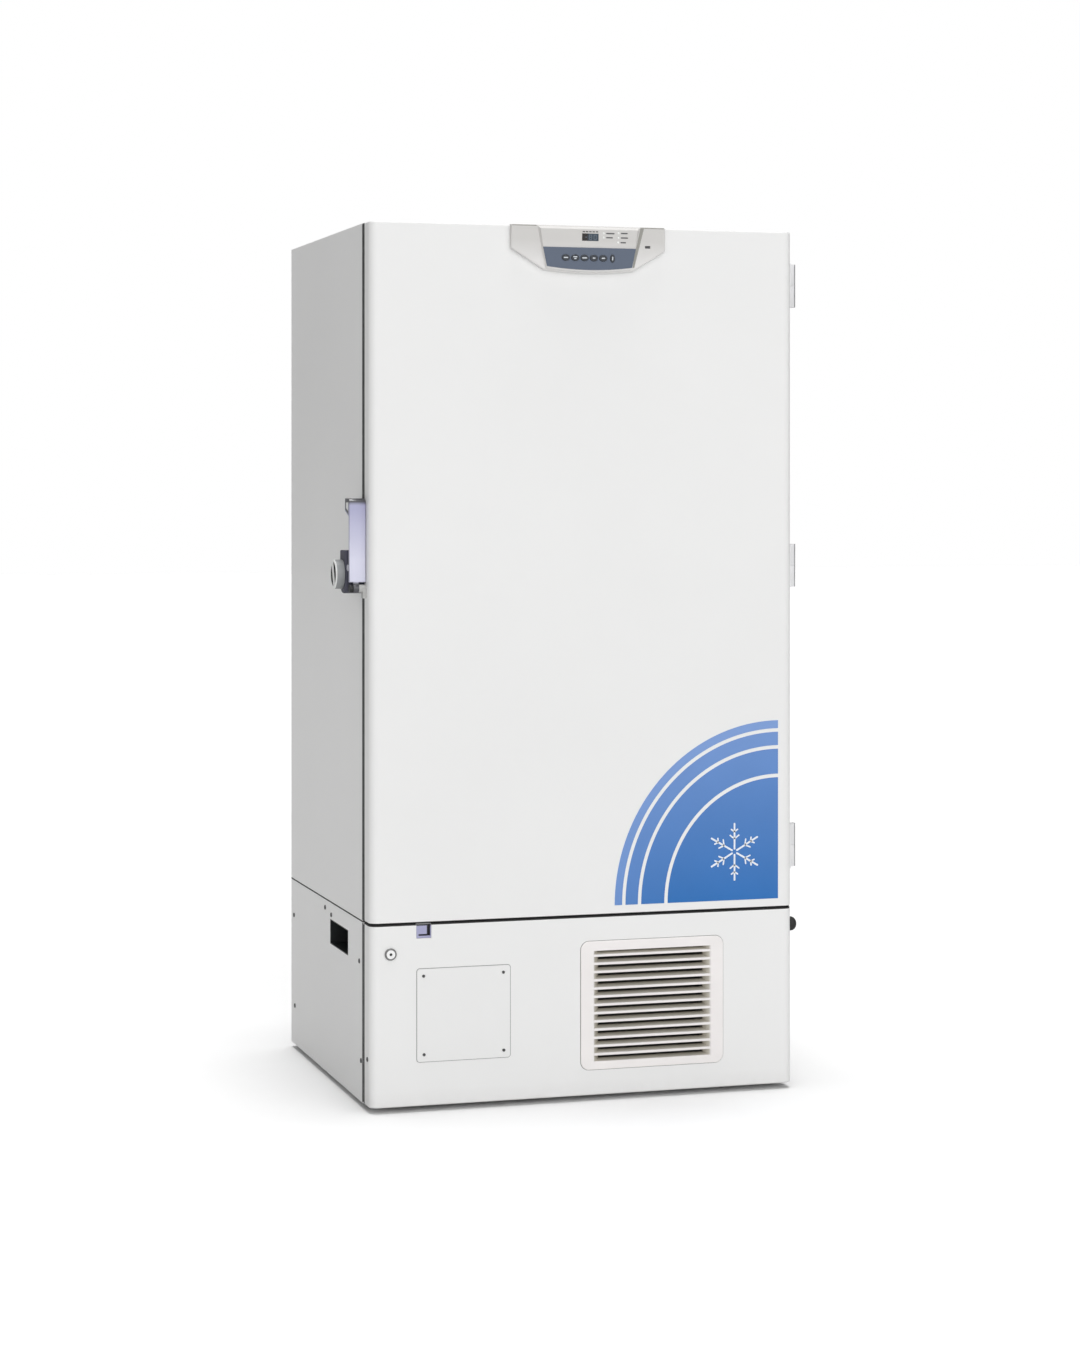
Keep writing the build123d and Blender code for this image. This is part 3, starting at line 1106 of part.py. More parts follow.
with BuildPart() as condenser_filter:
    with BuildSketch(facing_front(CONDENSER_FRONT)):
        span((CONDENSER_LEFT, BASE_TOP), (CONDENSER_RIGHT, CONDENSER_TOP))
        span(
            (CONDENSER_LEFT + FILTER_BORDER, BASE_TOP + FILTER_BORDER),
            (CONDENSER_RIGHT - FILTER_BORDER, CONDENSER_TOP - FILTER_BORDER),
            mode=Mode.SUBTRACT,
        )
    extrude(amount=FILTER_THICKNESS)
    with BuildSketch(facing_front(CONDENSER_FRONT - FILTER_THICKNESS / 2)):
        span((CONDENSER_LEFT, BASE_TOP), (CONDENSER_RIGHT, CONDENSER_TOP))
    extrude(amount=FILTER_SCREEN)

FAN_Z = BASE_TOP + CONDENSER_TALL / 2
FAN_MIDDLE = CONDENSER_BACK + SHROUD_DEPTH / 2
FAN_RADIUS = CONDENSER_TALL / 2 - FAN_BORDER
MOTOR_FRONT = FAN_MIDDLE + FAN_HUB_LENGTH / 2 + EASE

with BuildPart() as fan_shroud:
    with BuildSketch(facing_front(CONDENSER_BACK + SHROUD_SHEET)):
        span((CONDENSER_LEFT, BASE_TOP), (CONDENSER_RIGHT, CONDENSER_TOP))
        with Locations((GRILLE_X, FAN_Z)):
            Circle(FAN_RADIUS + FAN_TIP_GAP, mode=Mode.SUBTRACT)
    extrude(amount=SHROUD_SHEET)
    with BuildSketch(facing_front(CONDENSER_BACK + SHROUD_DEPTH)):
        with Locations((GRILLE_X, FAN_Z)):
            Circle(FAN_RADIUS + FAN_TIP_GAP + SHROUD_SHEET)
            Circle(FAN_RADIUS + FAN_TIP_GAP, mode=Mode.SUBTRACT)
    extrude(amount=SHROUD_DEPTH)
    with BuildSketch(facing_front(CONDENSER_BACK + SHROUD_DEPTH + SHROUD_SHEET)):
        with Locations((GRILLE_X, FAN_Z)):
            Circle(FAN_RADIUS + FAN_TIP_GAP + SHROUD_SHEET)
            Circle(FAN_RADIUS + FAN_TIP_GAP, mode=Mode.SUBTRACT)
            Rectangle(2 * (FAN_RADIUS + FAN_TIP_GAP) + SHROUD_SHEET, MOTOR_ARM)
            Rectangle(MOTOR_ARM, 2 * (FAN_RADIUS + FAN_TIP_GAP) + SHROUD_SHEET)
    extrude(amount=SHROUD_SHEET)
    inward(GRILLE_X, (MOTOR_FRONT, MOTOR_FRONT + MOTOR_LENGTH), FAN_Z, MOTOR_RADIUS)
    fillet(fan_shroud.faces().sort_by(Axis.Y)[-1].edges(), MOTOR_ARM / 2)
    inward(GRILLE_X, (FAN_MIDDLE - FAN_HUB_LENGTH / 2, MOTOR_FRONT), FAN_Z, FAN_SHAFT_RADIUS)

with BuildPart() as fan_blade:
    inward(
        GRILLE_X,
        (FAN_MIDDLE - FAN_HUB_LENGTH / 2, FAN_MIDDLE + FAN_HUB_LENGTH / 2),
        FAN_Z,
        FAN_HUB_RADIUS,
    )
    blade_length = FAN_RADIUS - FAN_HUB_RADIUS
    for blade in range(FAN_BLADES):
        turn = radians(360 / FAN_BLADES * blade)
        along = Vector(cos(turn), 0, sin(turn))
        flat = Vector(-sin(turn), 0, cos(turn))
        across = flat * cos(radians(FAN_PITCH)) + Vector(0, sin(radians(FAN_PITCH)), 0)
        root = Vector(GRILLE_X, FAN_MIDDLE, FAN_Z) + along * (FAN_HUB_RADIUS - FAN_BLADE * 2)
        with BuildSketch(Plane(origin=root, x_dir=across, z_dir=along)):
            RectangleRounded(FAN_CHORD / 2, FAN_BLADE, FAN_BLADE / 3)
        with BuildSketch(Plane(origin=root + along * blade_length, x_dir=across, z_dir=along)):
            RectangleRounded(FAN_CHORD, FAN_BLADE, FAN_BLADE / 3)
        loft()
    inward(
        GRILLE_X,
        (FAN_MIDDLE - FAN_HUB_LENGTH / 2, FAN_MIDDLE + FAN_HUB_LENGTH / 2),
        FAN_Z,
        FAN_SHAFT_RADIUS + RUN,
        mode=Mode.SUBTRACT,
    )


def compressor(x, y):
    """Hermetic compressor: welded shell with a domed top, foot plate on grommets and a terminal box."""
    foot = BASE_TOP + GROMMET_HEIGHT
    shell = foot + COMPRESSOR_FOOT
    top = SHELL_BOTTOM - COMPRESSOR_HEAD
    dome = COMPRESSOR_DOME
    seam = shell + COMPRESSOR_SEAM
    with BuildPart() as body:
        with BuildSketch(Plane(origin=(x, y, 0), x_dir=(1, 0, 0), z_dir=(0, -1, 0))):
            with BuildLine():
                Polyline(
                    (COMPRESSOR_RADIUS - dome, top),
                    (0, top),
                    (0, shell),
                    (COMPRESSOR_RADIUS - dome / 2, shell),
                    (COMPRESSOR_RADIUS, shell + dome / 2),
                    (COMPRESSOR_RADIUS, seam),
                    (COMPRESSOR_RADIUS + COMPRESSOR_FOOT / 2, seam),
                    (COMPRESSOR_RADIUS + COMPRESSOR_FOOT / 2, seam + COMPRESSOR_FOOT),
                    (COMPRESSOR_RADIUS, seam + COMPRESSOR_FOOT),
                    (COMPRESSOR_RADIUS, top - dome),
                )
                RadiusArc((COMPRESSOR_RADIUS, top - dome), (COMPRESSOR_RADIUS - dome, top), -dome)
            make_face()
        revolve(axis=Axis((x, y, 0), (0, 0, 1)))
        with BuildSketch(level(foot)):
            with Locations((x, y)):
                RectangleRounded(FOOT_PLATE_LENGTH, FOOT_PLATE_WIDTH, FOOT_PLATE_RADIUS)
        extrude(amount=COMPRESSOR_FOOT)
        with BuildSketch(level(BASE_TOP)):
            with Locations((x, y)):
                with GridLocations(GROMMET_PITCH_X, GROMMET_PITCH_Y, 2, 2):
                    Circle(GROMMET_RADIUS)
        extrude(amount=GROMMET_HEIGHT)
        block(
            (x - TERMINAL_WIDTH / 2, x + TERMINAL_WIDTH / 2),
            (y - COMPRESSOR_RADIUS - TERMINAL_PROUD, y - COMPRESSOR_RADIUS + TERMINAL_ROOT),
            (shell + dome, seam - COMPRESSOR_FOOT),
        )
    return body


compressor_low_stage = compressor(LEFT + COMPRESSOR_INSET_X, BACK - COMPRESSOR_INSET_Y)
compressor_high_stage = compressor(RIGHT - COMPRESSOR_INSET_X, BACK - COMPRESSOR_INSET_Y)

with BuildPart() as electrical_box:
    box_left = LEFT + BOX_INSET
    box_front = BODY_FRONT + BOX_SETBACK
    block(
        (box_left, box_left + BOX_WIDTH),
        (box_front, box_front + BOX_DEPTH),
        (BASE_TOP, BASE_TOP + BOX_TALL),
    )
    with BuildSketch(facing_front(box_front)):
        span(
            (box_left - BOX_LID, BASE_TOP),
            (box_left + BOX_WIDTH + BOX_LID, BASE_TOP + BOX_TALL + BOX_LID),
        )
    extrude(amount=BOX_LID)
    fillet(electrical_box.faces().sort_by(Axis.Y)[0].edges(), BOX_LID / 3)

# Running gear: casters and levelling feet
CASTER_XS = {"left": LEFT + CASTER_INSET_X, "right": RIGHT - CASTER_INSET_X}
FRONT_CASTER_Y = BODY_FRONT + FRONT_CASTER_SETBACK
REAR_CASTER_Y = BACK - REAR_CASTER_INSET
FORK_HALF = WHEEL_WIDTH / 2 + FORK_GAP + FORK_SHEET
FORK_TOP = BASE_HEIGHT - CASTER_PLATE
WHEEL_RADIUS = (FORK_TOP - FORK_SHEET - WHEEL_GAP) / 2
FRONT_WHEEL_Z = WHEEL_RADIUS + WHEEL_LIFT
FRONT_FORK_TOP = FORK_TOP + WHEEL_LIFT


def caster_fork(x, y, axle_y, axle_z, top):
    """Fork with two cheeks under a round bridge plate, and the axle between the cheeks."""
    ends = (min(y, axle_y) - AXLE_RADIUS, max(y, axle_y) + AXLE_RADIUS)
    with BuildPart() as fork:
        with BuildSketch(level(top - FORK_SHEET)):
            with Locations((x, y)):
                Circle(FORK_PLATE / 2)
            span((x - FORK_HALF, ends[0]), (x + FORK_HALF, ends[1]))
        extrude(amount=FORK_SHEET)
        for cheek in (x - FORK_HALF, x + FORK_HALF - FORK_SHEET):
            with BuildSketch(facing_right(cheek)):
                with BuildLine():
                    Polyline(
                        (ends[0], top),
                        (axle_y - 2 * AXLE_RADIUS, axle_z),
                        (axle_y - AXLE_RADIUS, axle_z - 2 * AXLE_RADIUS),
                        (axle_y + AXLE_RADIUS, axle_z - 2 * AXLE_RADIUS),
                        (axle_y + 2 * AXLE_RADIUS, axle_z),
                        (ends[1], top),
                        close=True,
                    )
                make_face()
            extrude(amount=FORK_SHEET)
        crosswise((x - FORK_HALF, x + FORK_HALF), axle_y, axle_z, AXLE_RADIUS)
    return fork


def caster_wheel(x, y, z):
    """Wheel with a crowned tread and a hub a little wider than the tread."""
    hub = WHEEL_WIDTH / 2 + FORK_GAP - EASE
    edge = WHEEL_RADIUS - WHEEL_CROWN
    with BuildPart() as wheel:
        with BuildSketch(Plane(origin=(x, y, z), x_dir=(1, 0, 0), z_dir=(0, -1, 0))):
            with BuildLine():
                Polyline(
                    (-WHEEL_WIDTH / 2, edge),
                    (-WHEEL_WIDTH / 2, WHEEL_WEB_RADIUS),
                    (-hub, WHEEL_HUB_RADIUS),
                    (-hub, AXLE_RADIUS + RUN),
                    (hub, AXLE_RADIUS + RUN),
                    (hub, WHEEL_HUB_RADIUS),
                    (WHEEL_WIDTH / 2, WHEEL_WEB_RADIUS),
                    (WHEEL_WIDTH / 2, edge),
                )
                ThreePointArc((WHEEL_WIDTH / 2, edge), (0, WHEEL_RADIUS), (-WHEEL_WIDTH / 2, edge))
            make_face()
        revolve(axis=Axis((x, y, z), (1, 0, 0)))
    return wheel


front_forks = {}
wheels = {}
for side, caster_x in CASTER_XS.items():
    trail_y = FRONT_CASTER_Y + CASTER_TRAIL
    with BuildPart() as swivel_fork:
        add(caster_fork(caster_x, FRONT_CASTER_Y, trail_y, FRONT_WHEEL_Z, FRONT_FORK_TOP).part)
        upright(
            caster_x,
            FRONT_CASTER_Y,
            (FRONT_FORK_TOP - FORK_SHEET, FRONT_FORK_TOP),
            KINGPIN_RADIUS + RUN,
            mode=Mode.SUBTRACT,
        )
    front_forks[f"front_caster_fork_{side}"] = swivel_fork
    wheels[f"front_caster_wheel_{side}"] = caster_wheel(caster_x, trail_y, FRONT_WHEEL_Z)
    wheels[f"rear_caster_wheel_{side}"] = caster_wheel(caster_x, REAR_CASTER_Y, WHEEL_RADIUS)

with BuildPart() as caster_mounts:
    for caster_x in CASTER_XS.values():
        kingpin_foot = FRONT_FORK_TOP - FORK_SHEET
        block(
            (caster_x - FORK_PLATE / 2, caster_x + FORK_PLATE / 2),
            (FRONT_CASTER_Y - FORK_PLATE / 2, FRONT_CASTER_Y + FORK_PLATE / 2),
            (FRONT_FORK_TOP + EASE, BASE_HEIGHT),
        )
        upright(caster_x, FRONT_CASTER_Y, (kingpin_foot, FRONT_FORK_TOP + EASE), KINGPIN_RADIUS)
        add(caster_fork(caster_x, REAR_CASTER_Y, REAR_CASTER_Y, WHEEL_RADIUS, FORK_TOP).part)
        block(
            (caster_x - FORK_PLATE / 2, caster_x + FORK_PLATE / 2),
            (REAR_CASTER_Y - FORK_PLATE / 2, REAR_CASTER_Y + FORK_PLATE / 2),
            (FORK_TOP, BASE_HEIGHT),
        )


def levelling_foot(x):
    """Round pad on a stem that runs up through its boss in the base."""
    with BuildPart() as foot:
        upright(x, FOOT_Y, (0, FOOT_HEIGHT), FOOT_RADIUS)
        fillet(foot.faces().sort_by(Axis.Z)[-1].edges(), FOOT_HEIGHT / 3)
        upright(x, FOOT_Y, (FOOT_HEIGHT, BASE_TOP), FOOT_STEM_RADIUS)
    return foot


feet = {f"levelling_foot_{side}": levelling_foot(x) for side, x in FOOT_XS.items()}

# Wall brackets at the back, each with one hole for a bolt or a strap
WALL_TOP = TOP - WALL_DROP

with BuildPart() as wall_brackets:
    for bracket_x in (CENTRE - WALL_SPACING / 2, CENTRE + WALL_SPACING / 2):
        edges = (bracket_x - WALL_WIDTH / 2, bracket_x + WALL_WIDTH / 2)
        block(edges, (BACK, BACK + WALL_SHEET), (WALL_TOP - WALL_TALL, WALL_TOP))
        block(edges, (BACK, BACK + WALL_REACH), (WALL_TOP - WALL_SHEET, WALL_TOP))
        hole_y = BACK + (WALL_SHEET + WALL_REACH) / 2
        upright(
            bracket_x,
            hole_y,
            (WALL_TOP - WALL_SHEET, WALL_TOP),
            WALL_HOLE_RADIUS,
            mode=Mode.SUBTRACT,
        )

pieces = {
    "outer_shell": outer_shell,
    "breaker_frame": breaker_frame,
    "chamber_liner": chamber_liner,
    "evaporator_coil": evaporator_coil,
    "cabinet_insulation": cabinet_insulation,
    "shelf_rails": shelf_rails,
    "shelves": shelves,
    "inner_door_upper": inner_door_upper,
    "inner_door_lower": inner_door_lower,
    "inner_latch_upper": inner_latch_upper,
    "inner_latch_lower": inner_latch_lower,
    "door_skin": door_skin,
    "door_liner": door_liner,
    "door_insulation": door_insulation,
    "door_gasket": door_gasket,
    "door_hinge_leaves": door_hinge_leaves,
    "cabinet_hinges": cabinet_hinges,
    "control_housing": control_housing,
    "display_window": display_window,
    "keypad_plate": keypad_plate,
    **keys,
    "handle_lever": handle_lever,
    "handle_bracket": handle_bracket,
    "lock_body": lock_body,
    "lock_knob": lock_knob,
    "front_cover": front_cover,
    "louver_grille": louver_grille,
    "recorder_plate": recorder_plate,
    "cover_latch": cover_latch,
    "cover_lock": cover_lock,
    "side_bumper": side_bumper,
    "side_panel_left": side_panel_left,
    "side_panel_right": side_panel_right,
    "rear_panel": rear_panel,
    "base_frame": base_frame,
    "cover_hinge_brackets": cover_hinge_brackets,
    "switch_recess": switch_recess,
    "power_rocker": power_rocker,
    "condenser": condenser,
    "condenser_filter": condenser_filter,
    "fan_shroud": fan_shroud,
    "fan_blade": fan_blade,
    "compressor_low_stage": compressor_low_stage,
    "compressor_high_stage": compressor_high_stage,
    "electrical_box": electrical_box,
    **front_forks,
    **wheels,
    "caster_mounts": caster_mounts,
    **feet,
    "wall_brackets": wall_brackets,
}

os.makedirs("parts", exist_ok=True)
for name, piece in pieces.items():
    piece.part.label = name
    export_step(piece.part, f"parts/{name}.step")
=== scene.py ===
import math

import bmesh
import bpy
from bpy.props import FloatProperty, FloatVectorProperty, IntProperty, PointerProperty
from mathutils import Matrix, Vector


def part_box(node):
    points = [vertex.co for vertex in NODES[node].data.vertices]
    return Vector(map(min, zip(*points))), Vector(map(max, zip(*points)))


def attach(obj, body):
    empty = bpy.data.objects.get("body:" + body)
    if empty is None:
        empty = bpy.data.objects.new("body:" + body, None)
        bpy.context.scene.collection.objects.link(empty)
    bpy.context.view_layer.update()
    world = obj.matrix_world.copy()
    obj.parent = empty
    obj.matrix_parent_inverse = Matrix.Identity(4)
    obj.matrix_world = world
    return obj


bl_info = {
    "name": "Ultra low temperature freezer",
    "version": (1, 0, 0),
    "blender": (4, 5, 0),
    "location": "3D View > Sidebar > Freezer",
    "description": "Dresses the packed solids of an upright laboratory freezer",
    "category": "Object",
}

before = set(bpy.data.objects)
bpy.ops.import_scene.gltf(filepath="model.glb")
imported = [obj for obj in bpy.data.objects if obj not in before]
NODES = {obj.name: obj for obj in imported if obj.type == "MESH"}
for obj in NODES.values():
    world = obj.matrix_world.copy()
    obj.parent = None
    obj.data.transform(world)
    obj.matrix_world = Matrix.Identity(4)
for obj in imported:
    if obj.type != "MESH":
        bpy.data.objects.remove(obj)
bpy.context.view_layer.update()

# Planes of the cabinet, in metres, read from the solids
DOOR_LOW, DOOR_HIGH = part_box("door_skin")
SHELL_LOW, SHELL_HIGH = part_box("outer_shell")
LEFT = DOOR_LOW.x
RIGHT = DOOR_HIGH.x
CENTRE = (LEFT + RIGHT) / 2
FRONT = DOOR_LOW.y
BACK = SHELL_HIGH.y
TOP = DOOR_HIGH.z
RIM = 0.004  # radius of the upper and lower edges of the door and the cover
EDGE = 0.020  # radius of their upright front edges
MM = 0.001
# The bands are painted shade: black films standing for the dark seams
BAND_WIDTH = 0.006  # dark bands along the upright edges
BAND_THICKNESS = 0.0003
HINGE_HALF = 0.05  # half the height of a hinge leaf
# Recessed panel of the inner doors
PANEL_FREE_BORDER = 0.100  # free edge to the panel
PANEL_BORDER = 0.040  # other edges to the panel
PANEL_DEPTH = 0.003
TRIM_WIDTH = 0.010


# Properties


def colour(name, description, default):
    """Colour property with linear values."""
    return FloatVectorProperty(
        name=name, description=description, subtype="COLOR", size=3, min=0.0, max=1.0, default=default
    )


def length(name, description, default):
    """Length property in metres."""
    return FloatProperty(
        name=name, description=description, subtype="DISTANCE", unit="LENGTH", default=default
    )


def strength(name, description, default):
    """Strength of a light."""
    return FloatProperty(name=name, description=description, min=0.0, default=default)


class FreezerColours(bpy.types.PropertyGroup):
    """Colours of the finishes"""

    enamel: colour("Enamel", "Paint of the cabinet, door and cover", (0.83, 0.83, 0.825))
    panel: colour("Control panel", "Upper part of the control housing", (0.60, 0.588, 0.572))
    panel_foot: colour("Control panel foot", "Paler lower part of the control housing", (0.73, 0.72, 0.71))
    keypad: colour("Keypad", "Film around the keys", (0.066, 0.093, 0.146))
    key_cap: colour("Keys", "Key caps", (0.020, 0.026, 0.036))
    mark: colour("Marks", "Light marks on the keys", (0.62, 0.66, 0.70))
    # Also painted shade: the dark line round the grille
    ink_and_shade: colour("Ink", "Dark printed marks", (0.07, 0.07, 0.075))
    window: colour("Window", "Dark display window", (0.010, 0.008, 0.007))
    window_pale: colour("Window reflection", "Paler end of the display window", (0.040, 0.060, 0.085))
    digit: colour("Digits", "Segments of the display", (0.10, 0.135, 0.175))
    lever_head: colour("Lever head", "Upper end of the handle lever", (0.375, 0.375, 0.555))
    lever_foot: colour("Lever foot", "Lower end of the handle lever", (0.65, 0.65, 0.785))
    # Painted shade on the top and the eye of the handle lever
    lever_shade: colour("Lever shade", "Top and eye of the handle lever", (0.075, 0.075, 0.085))
    lock: colour("Lock body", "Dark lock body on the cabinet", (0.058, 0.058, 0.085))
    knob: colour("Lock knob", "Barrel of the rotary lock knob", (0.27, 0.28, 0.285))
    # Painted highlight: the white end of the lock knob and the white film in the lever's hook
    pale_highlight: colour("Pale highlight", "End of the lock knob", (0.80, 0.81, 0.80))
    bracket: colour("Bracket", "Handle bracket", (0.46, 0.46, 0.45))
    hinge: colour("Hinges", "Paint of the hinges", (0.80, 0.80, 0.81))
    # Painted shade on the outer side of the hinges
    hinge_edge_shade: colour("Hinge edge shade", "Outer side of the hinges", (0.09, 0.09, 0.105))
    grille: colour("Grille", "Plastic of the louvred grille", (0.86, 0.83, 0.82))
    decal_deep: colour("Decal deep", "Deep blue of the corner decal", (0.0, 0.135, 0.45))
    decal_pale: colour("Decal pale", "Pale blue of the corner decal", (0.28, 0.42, 0.76))
    # Also the colour of the black films of painted shade in the seams
    rubber: colour("Rubber", "Gaskets, bumper and wheels", (0.012, 0.012, 0.012))
    rocker: colour("Rocker", "Power switch", (0.08, 0.42, 0.40))
    copper: colour("Copper", "Refrigerant pipes", (0.72, 0.33, 0.18))
    floor: colour("Floor", "Floor as it is seen", (0.95, 0.95, 0.95))
    floor_bounce: colour("Floor bounce", "Floor as it lights the freezer", (0.62, 0.62, 0.62))


class FreezerSizes(bpy.types.PropertyGroup):
    """Sizes of the dressing"""

    screw_radius: length("Screw radius", "Radius of a panel screw's head", 0.0055)
    screw_height: length("Screw height", "Height of a panel screw's head", 0.0022)
    decal_width: length("Decal width", "Reach of the corner decal along the door's lower edge", 0.400)
    decal_height: length("Decal height", "Reach of the corner decal up the door's right edge", 0.414)
    digit_height: length("Digit height", "Height of the display's digits", 0.0105)
    film: length("Film", "Thickness of printed marks and films", 0.00025)
    wing_rim: length("Wing rim", "Rounding of the control panel's edges", 0.0025)
    wing_proud: length("Wing depth", "Door front to the wings of the control panel", 0.012)
    console_width: length("Console width", "Width of the control panel's raised middle", 0.248)
    console_lean: length("Console lean", "How far the console's sides lean in towards its foot", 0.0205)
    port_inset: length("Port inset", "Control panel's right edge to the port", 0.042)
    port_drop: length("Port drop", "Control panel's top to the port", 0.045)
    pipe_radius: length("Pipe radius", "Radius of the refrigerant pipes", 0.0048)
    round_steps: IntProperty(name="Round steps", description="Sides of a round piece", default=32, min=12)


class FreezerStage(bpy.types.PropertyGroup):
    """Camera and light"""

    lens: FloatProperty(name="Lens", description="Focal length", subtype="DISTANCE_CAMERA", default=77.515)
    eye: FloatVectorProperty(
        name="Eye",
        description="Camera place from the middle of the door's lower front edge at floor level",
        subtype="TRANSLATION",
        unit="LENGTH",
        default=(-2.0239, -6.3056, 1.3986),
    )
    yaw: FloatProperty(
        name="Yaw", description="Turn of the camera to the right", subtype="ANGLE", default=0.2948
    )
    shift: FloatProperty(name="Shift", description="Vertical lens shift", default=-0.139)
    fill: strength("Fill", "Strength of the white light at the left", 0.28)
    fill_right: strength("Right fill", "Strength of the light at the right", 0.05)
    front: strength("Front", "Strength of the light before the door", 2.02)
    front_start: FloatProperty(
        name="Front start", description="Cosine where the front light begins", default=0.40
    )
    front_end: FloatProperty(
        name="Front end", description="Cosine where the front light is full", default=0.95
    )
    top_power: strength("Top light", "Strength of the broad light above", 2.45)
    top_spread: FloatProperty(
        name="Top spread", description="Width of the light above, in degrees", default=32.0
    )
    top_way: FloatVectorProperty(
        name="Top way",
        description="Direction of the light above",
        subtype="DIRECTION",
        default=(-0.04, -0.06, -1.0),
    )
    floor_reach: length("Floor reach", "Distance to the edge of the floor", 40.0)


def settings():
    """Property groups of this scene."""
    scene = bpy.context.scene
    return scene.freezer_colours, scene.freezer_sizes, scene.freezer_stage


# Shader groups and materials


def add_node(tree, kind, **values):
    """Node with its attributes and unlinked inputs set by name."""
    made = tree.nodes.new(kind)
    for name, value in values.items():
        socket = made.inputs.get(name.replace("_", " "))
        if socket is None:
            setattr(made, name, value)
        else:
            socket.default_value = value
    return made


def group_tree(name, inputs, outputs):
    """Empty shader group with its sockets, and its input and output nodes."""
    tree = bpy.data.node_groups.new(name, "ShaderNodeTree")
    for side, sockets in (("INPUT", inputs), ("OUTPUT", outputs)):
        for label, kind, default in sockets:
            socket = tree.interface.new_socket(name=label, in_out=side, socket_type=kind)
            if default is not None:
                socket.default_value = default
    return tree, tree.nodes.new("NodeGroupInput"), tree.nodes.new("NodeGroupOutput")


VECTOR = "NodeSocketVector"
COLOUR = "NodeSocketColor"
NUMBER = "NodeSocketFloat"
SKIN_OUTPUTS = (("Colour", COLOUR, None), ("Roughness", NUMBER, None), ("Height", NUMBER, None))
SKIN_INPUTS = (
    ("Coordinate", VECTOR, None),
    ("Colour", COLOUR, None),
    ("Drift", NUMBER, 0.03),
    ("Roughness", NUMBER, 0.4),
    ("Spread", NUMBER, 0.08),
    ("Stretch", VECTOR, (1.0, 1.0, 1.0)),
)


def skin_group(name, broad_scale, fine_scale, fine_detail, cells):
    """Finish whose tone drifts over the surface and whose fine grain shows in roughness and height."""
    if name in bpy.data.node_groups:
        return bpy.data.node_groups[name]
    tree, entry, exit_node = group_tree(name, SKIN_INPUTS, SKIN_OUTPUTS)
    link = tree.links.new
    stretched = add_node(tree, "ShaderNodeVectorMath", operation="MULTIPLY")
    link(entry.outputs["Coordinate"], stretched.inputs[0])
    link(entry.outputs["Stretch"], stretched.inputs[1])
    broad = add_node(tree, "ShaderNodeTexNoise", Scale=broad_scale, Detail=3.0, Roughness=0.55)
    link(entry.outputs["Coordinate"], broad.inputs["Vector"])
    if cells:
        fine = add_node(tree, "ShaderNodeTexVoronoi", Scale=fine_scale, feature="SMOOTH_F1", Smoothness=0.6)
        grain = fine.outputs["Distance"]
    else:
        fine = add_node(tree, "ShaderNodeTexNoise", Scale=fine_scale, Detail=fine_detail, Roughness=0.5)
        grain = fine.outputs[0]
    link(stretched.outputs[0], fine.inputs["Vector"])
    low = add_node(tree, "ShaderNodeMath", operation="SUBTRACT")
    low.inputs[0].default_value = 1.0
    link(entry.outputs["Drift"], low.inputs[1])
    high = add_node(tree, "ShaderNodeMath", operation="ADD")
    high.inputs[0].default_value = 1.0
    link(entry.outputs["Drift"], high.inputs[1])
    tone = add_node(tree, "ShaderNodeMapRange", From_Min=0.3, From_Max=0.7)
    link(broad.outputs[0], tone.inputs["Value"])
    link(low.outputs[0], tone.inputs["To Min"])
    link(high.outputs[0], tone.inputs["To Max"])
    shade = add_node(tree, "ShaderNodeHueSaturation")
    link(entry.outputs["Colour"], shade.inputs["Color"])
    link(tone.outputs[0], shade.inputs["Value"])
    both = add_node(tree, "ShaderNodeMath", operation="ADD")
    link(broad.outputs[0], both.inputs[0])
    link(grain, both.inputs[1])
    centred = add_node(tree, "ShaderNodeMath", operation="SUBTRACT")
    link(both.outputs[0], centred.inputs[0])
    centred.inputs[1].default_value = 1.0
    gloss = add_node(tree, "ShaderNodeMath", operation="MULTIPLY_ADD", use_clamp=True)
    link(centred.outputs[0], gloss.inputs[0])
    link(entry.outputs["Spread"], gloss.inputs[1])
    link(entry.outputs["Roughness"], gloss.inputs[2])
    link(shade.outputs[0], exit_node.inputs["Colour"])
    link(gloss.outputs[0], exit_node.inputs["Roughness"])
    link(grain, exit_node.inputs["Height"])
    return tree


def dust_group():
    """Dust that thins out above a level, as it settles on what stands near the floor."""
    name = "Floor dust"
    if name in bpy.data.node_groups:
        return bpy.data.node_groups[name]
    tree, entry, exit_node = group_tree(
        name,
        (
            ("Coordinate", VECTOR, None),
            ("Colour", COLOUR, None),
            ("Dust", COLOUR, (0.42, 0.40, 0.37, 1.0)),
            ("Level", NUMBER, 0.12),
            ("Amount", NUMBER, 0.3),
        ),
        (("Colour", COLOUR, None),),
    )
    link = tree.links.new
    parts = add_node(tree, "ShaderNodeSeparateXYZ")
    link(entry.outputs["Coordinate"], parts.inputs[0])
    height = add_node(tree, "ShaderNodeMapRange", From_Min=0.0, To_Min=1.0, To_Max=0.0)
    link(parts.outputs["Z"], height.inputs["Value"])
    link(entry.outputs["Level"], height.inputs["From Max"])
    cloud = add_node(tree, "ShaderNodeTexNoise", Scale=38.0, Detail=5.0, Roughness=0.65)
    link(entry.outputs["Coordinate"], cloud.inputs["Vector"])
    patchy = add_node(tree, "ShaderNodeMath", operation="MULTIPLY")
    link(height.outputs[0], patchy.inputs[0])
    link(cloud.outputs[0], patchy.inputs[1])
    mask = add_node(tree, "ShaderNodeMath", operation="MULTIPLY", use_clamp=True)
    link(patchy.outputs[0], mask.inputs[0])
    link(entry.outputs["Amount"], mask.inputs[1])
    blend = add_node(tree, "ShaderNodeMix", data_type="RGBA")
    link(mask.outputs[0], blend.inputs[0])
    link(entry.outputs["Colour"], blend.inputs[6])
    link(entry.outputs["Dust"], blend.inputs[7])
    link(blend.outputs[2], exit_node.inputs["Colour"])
    return tree


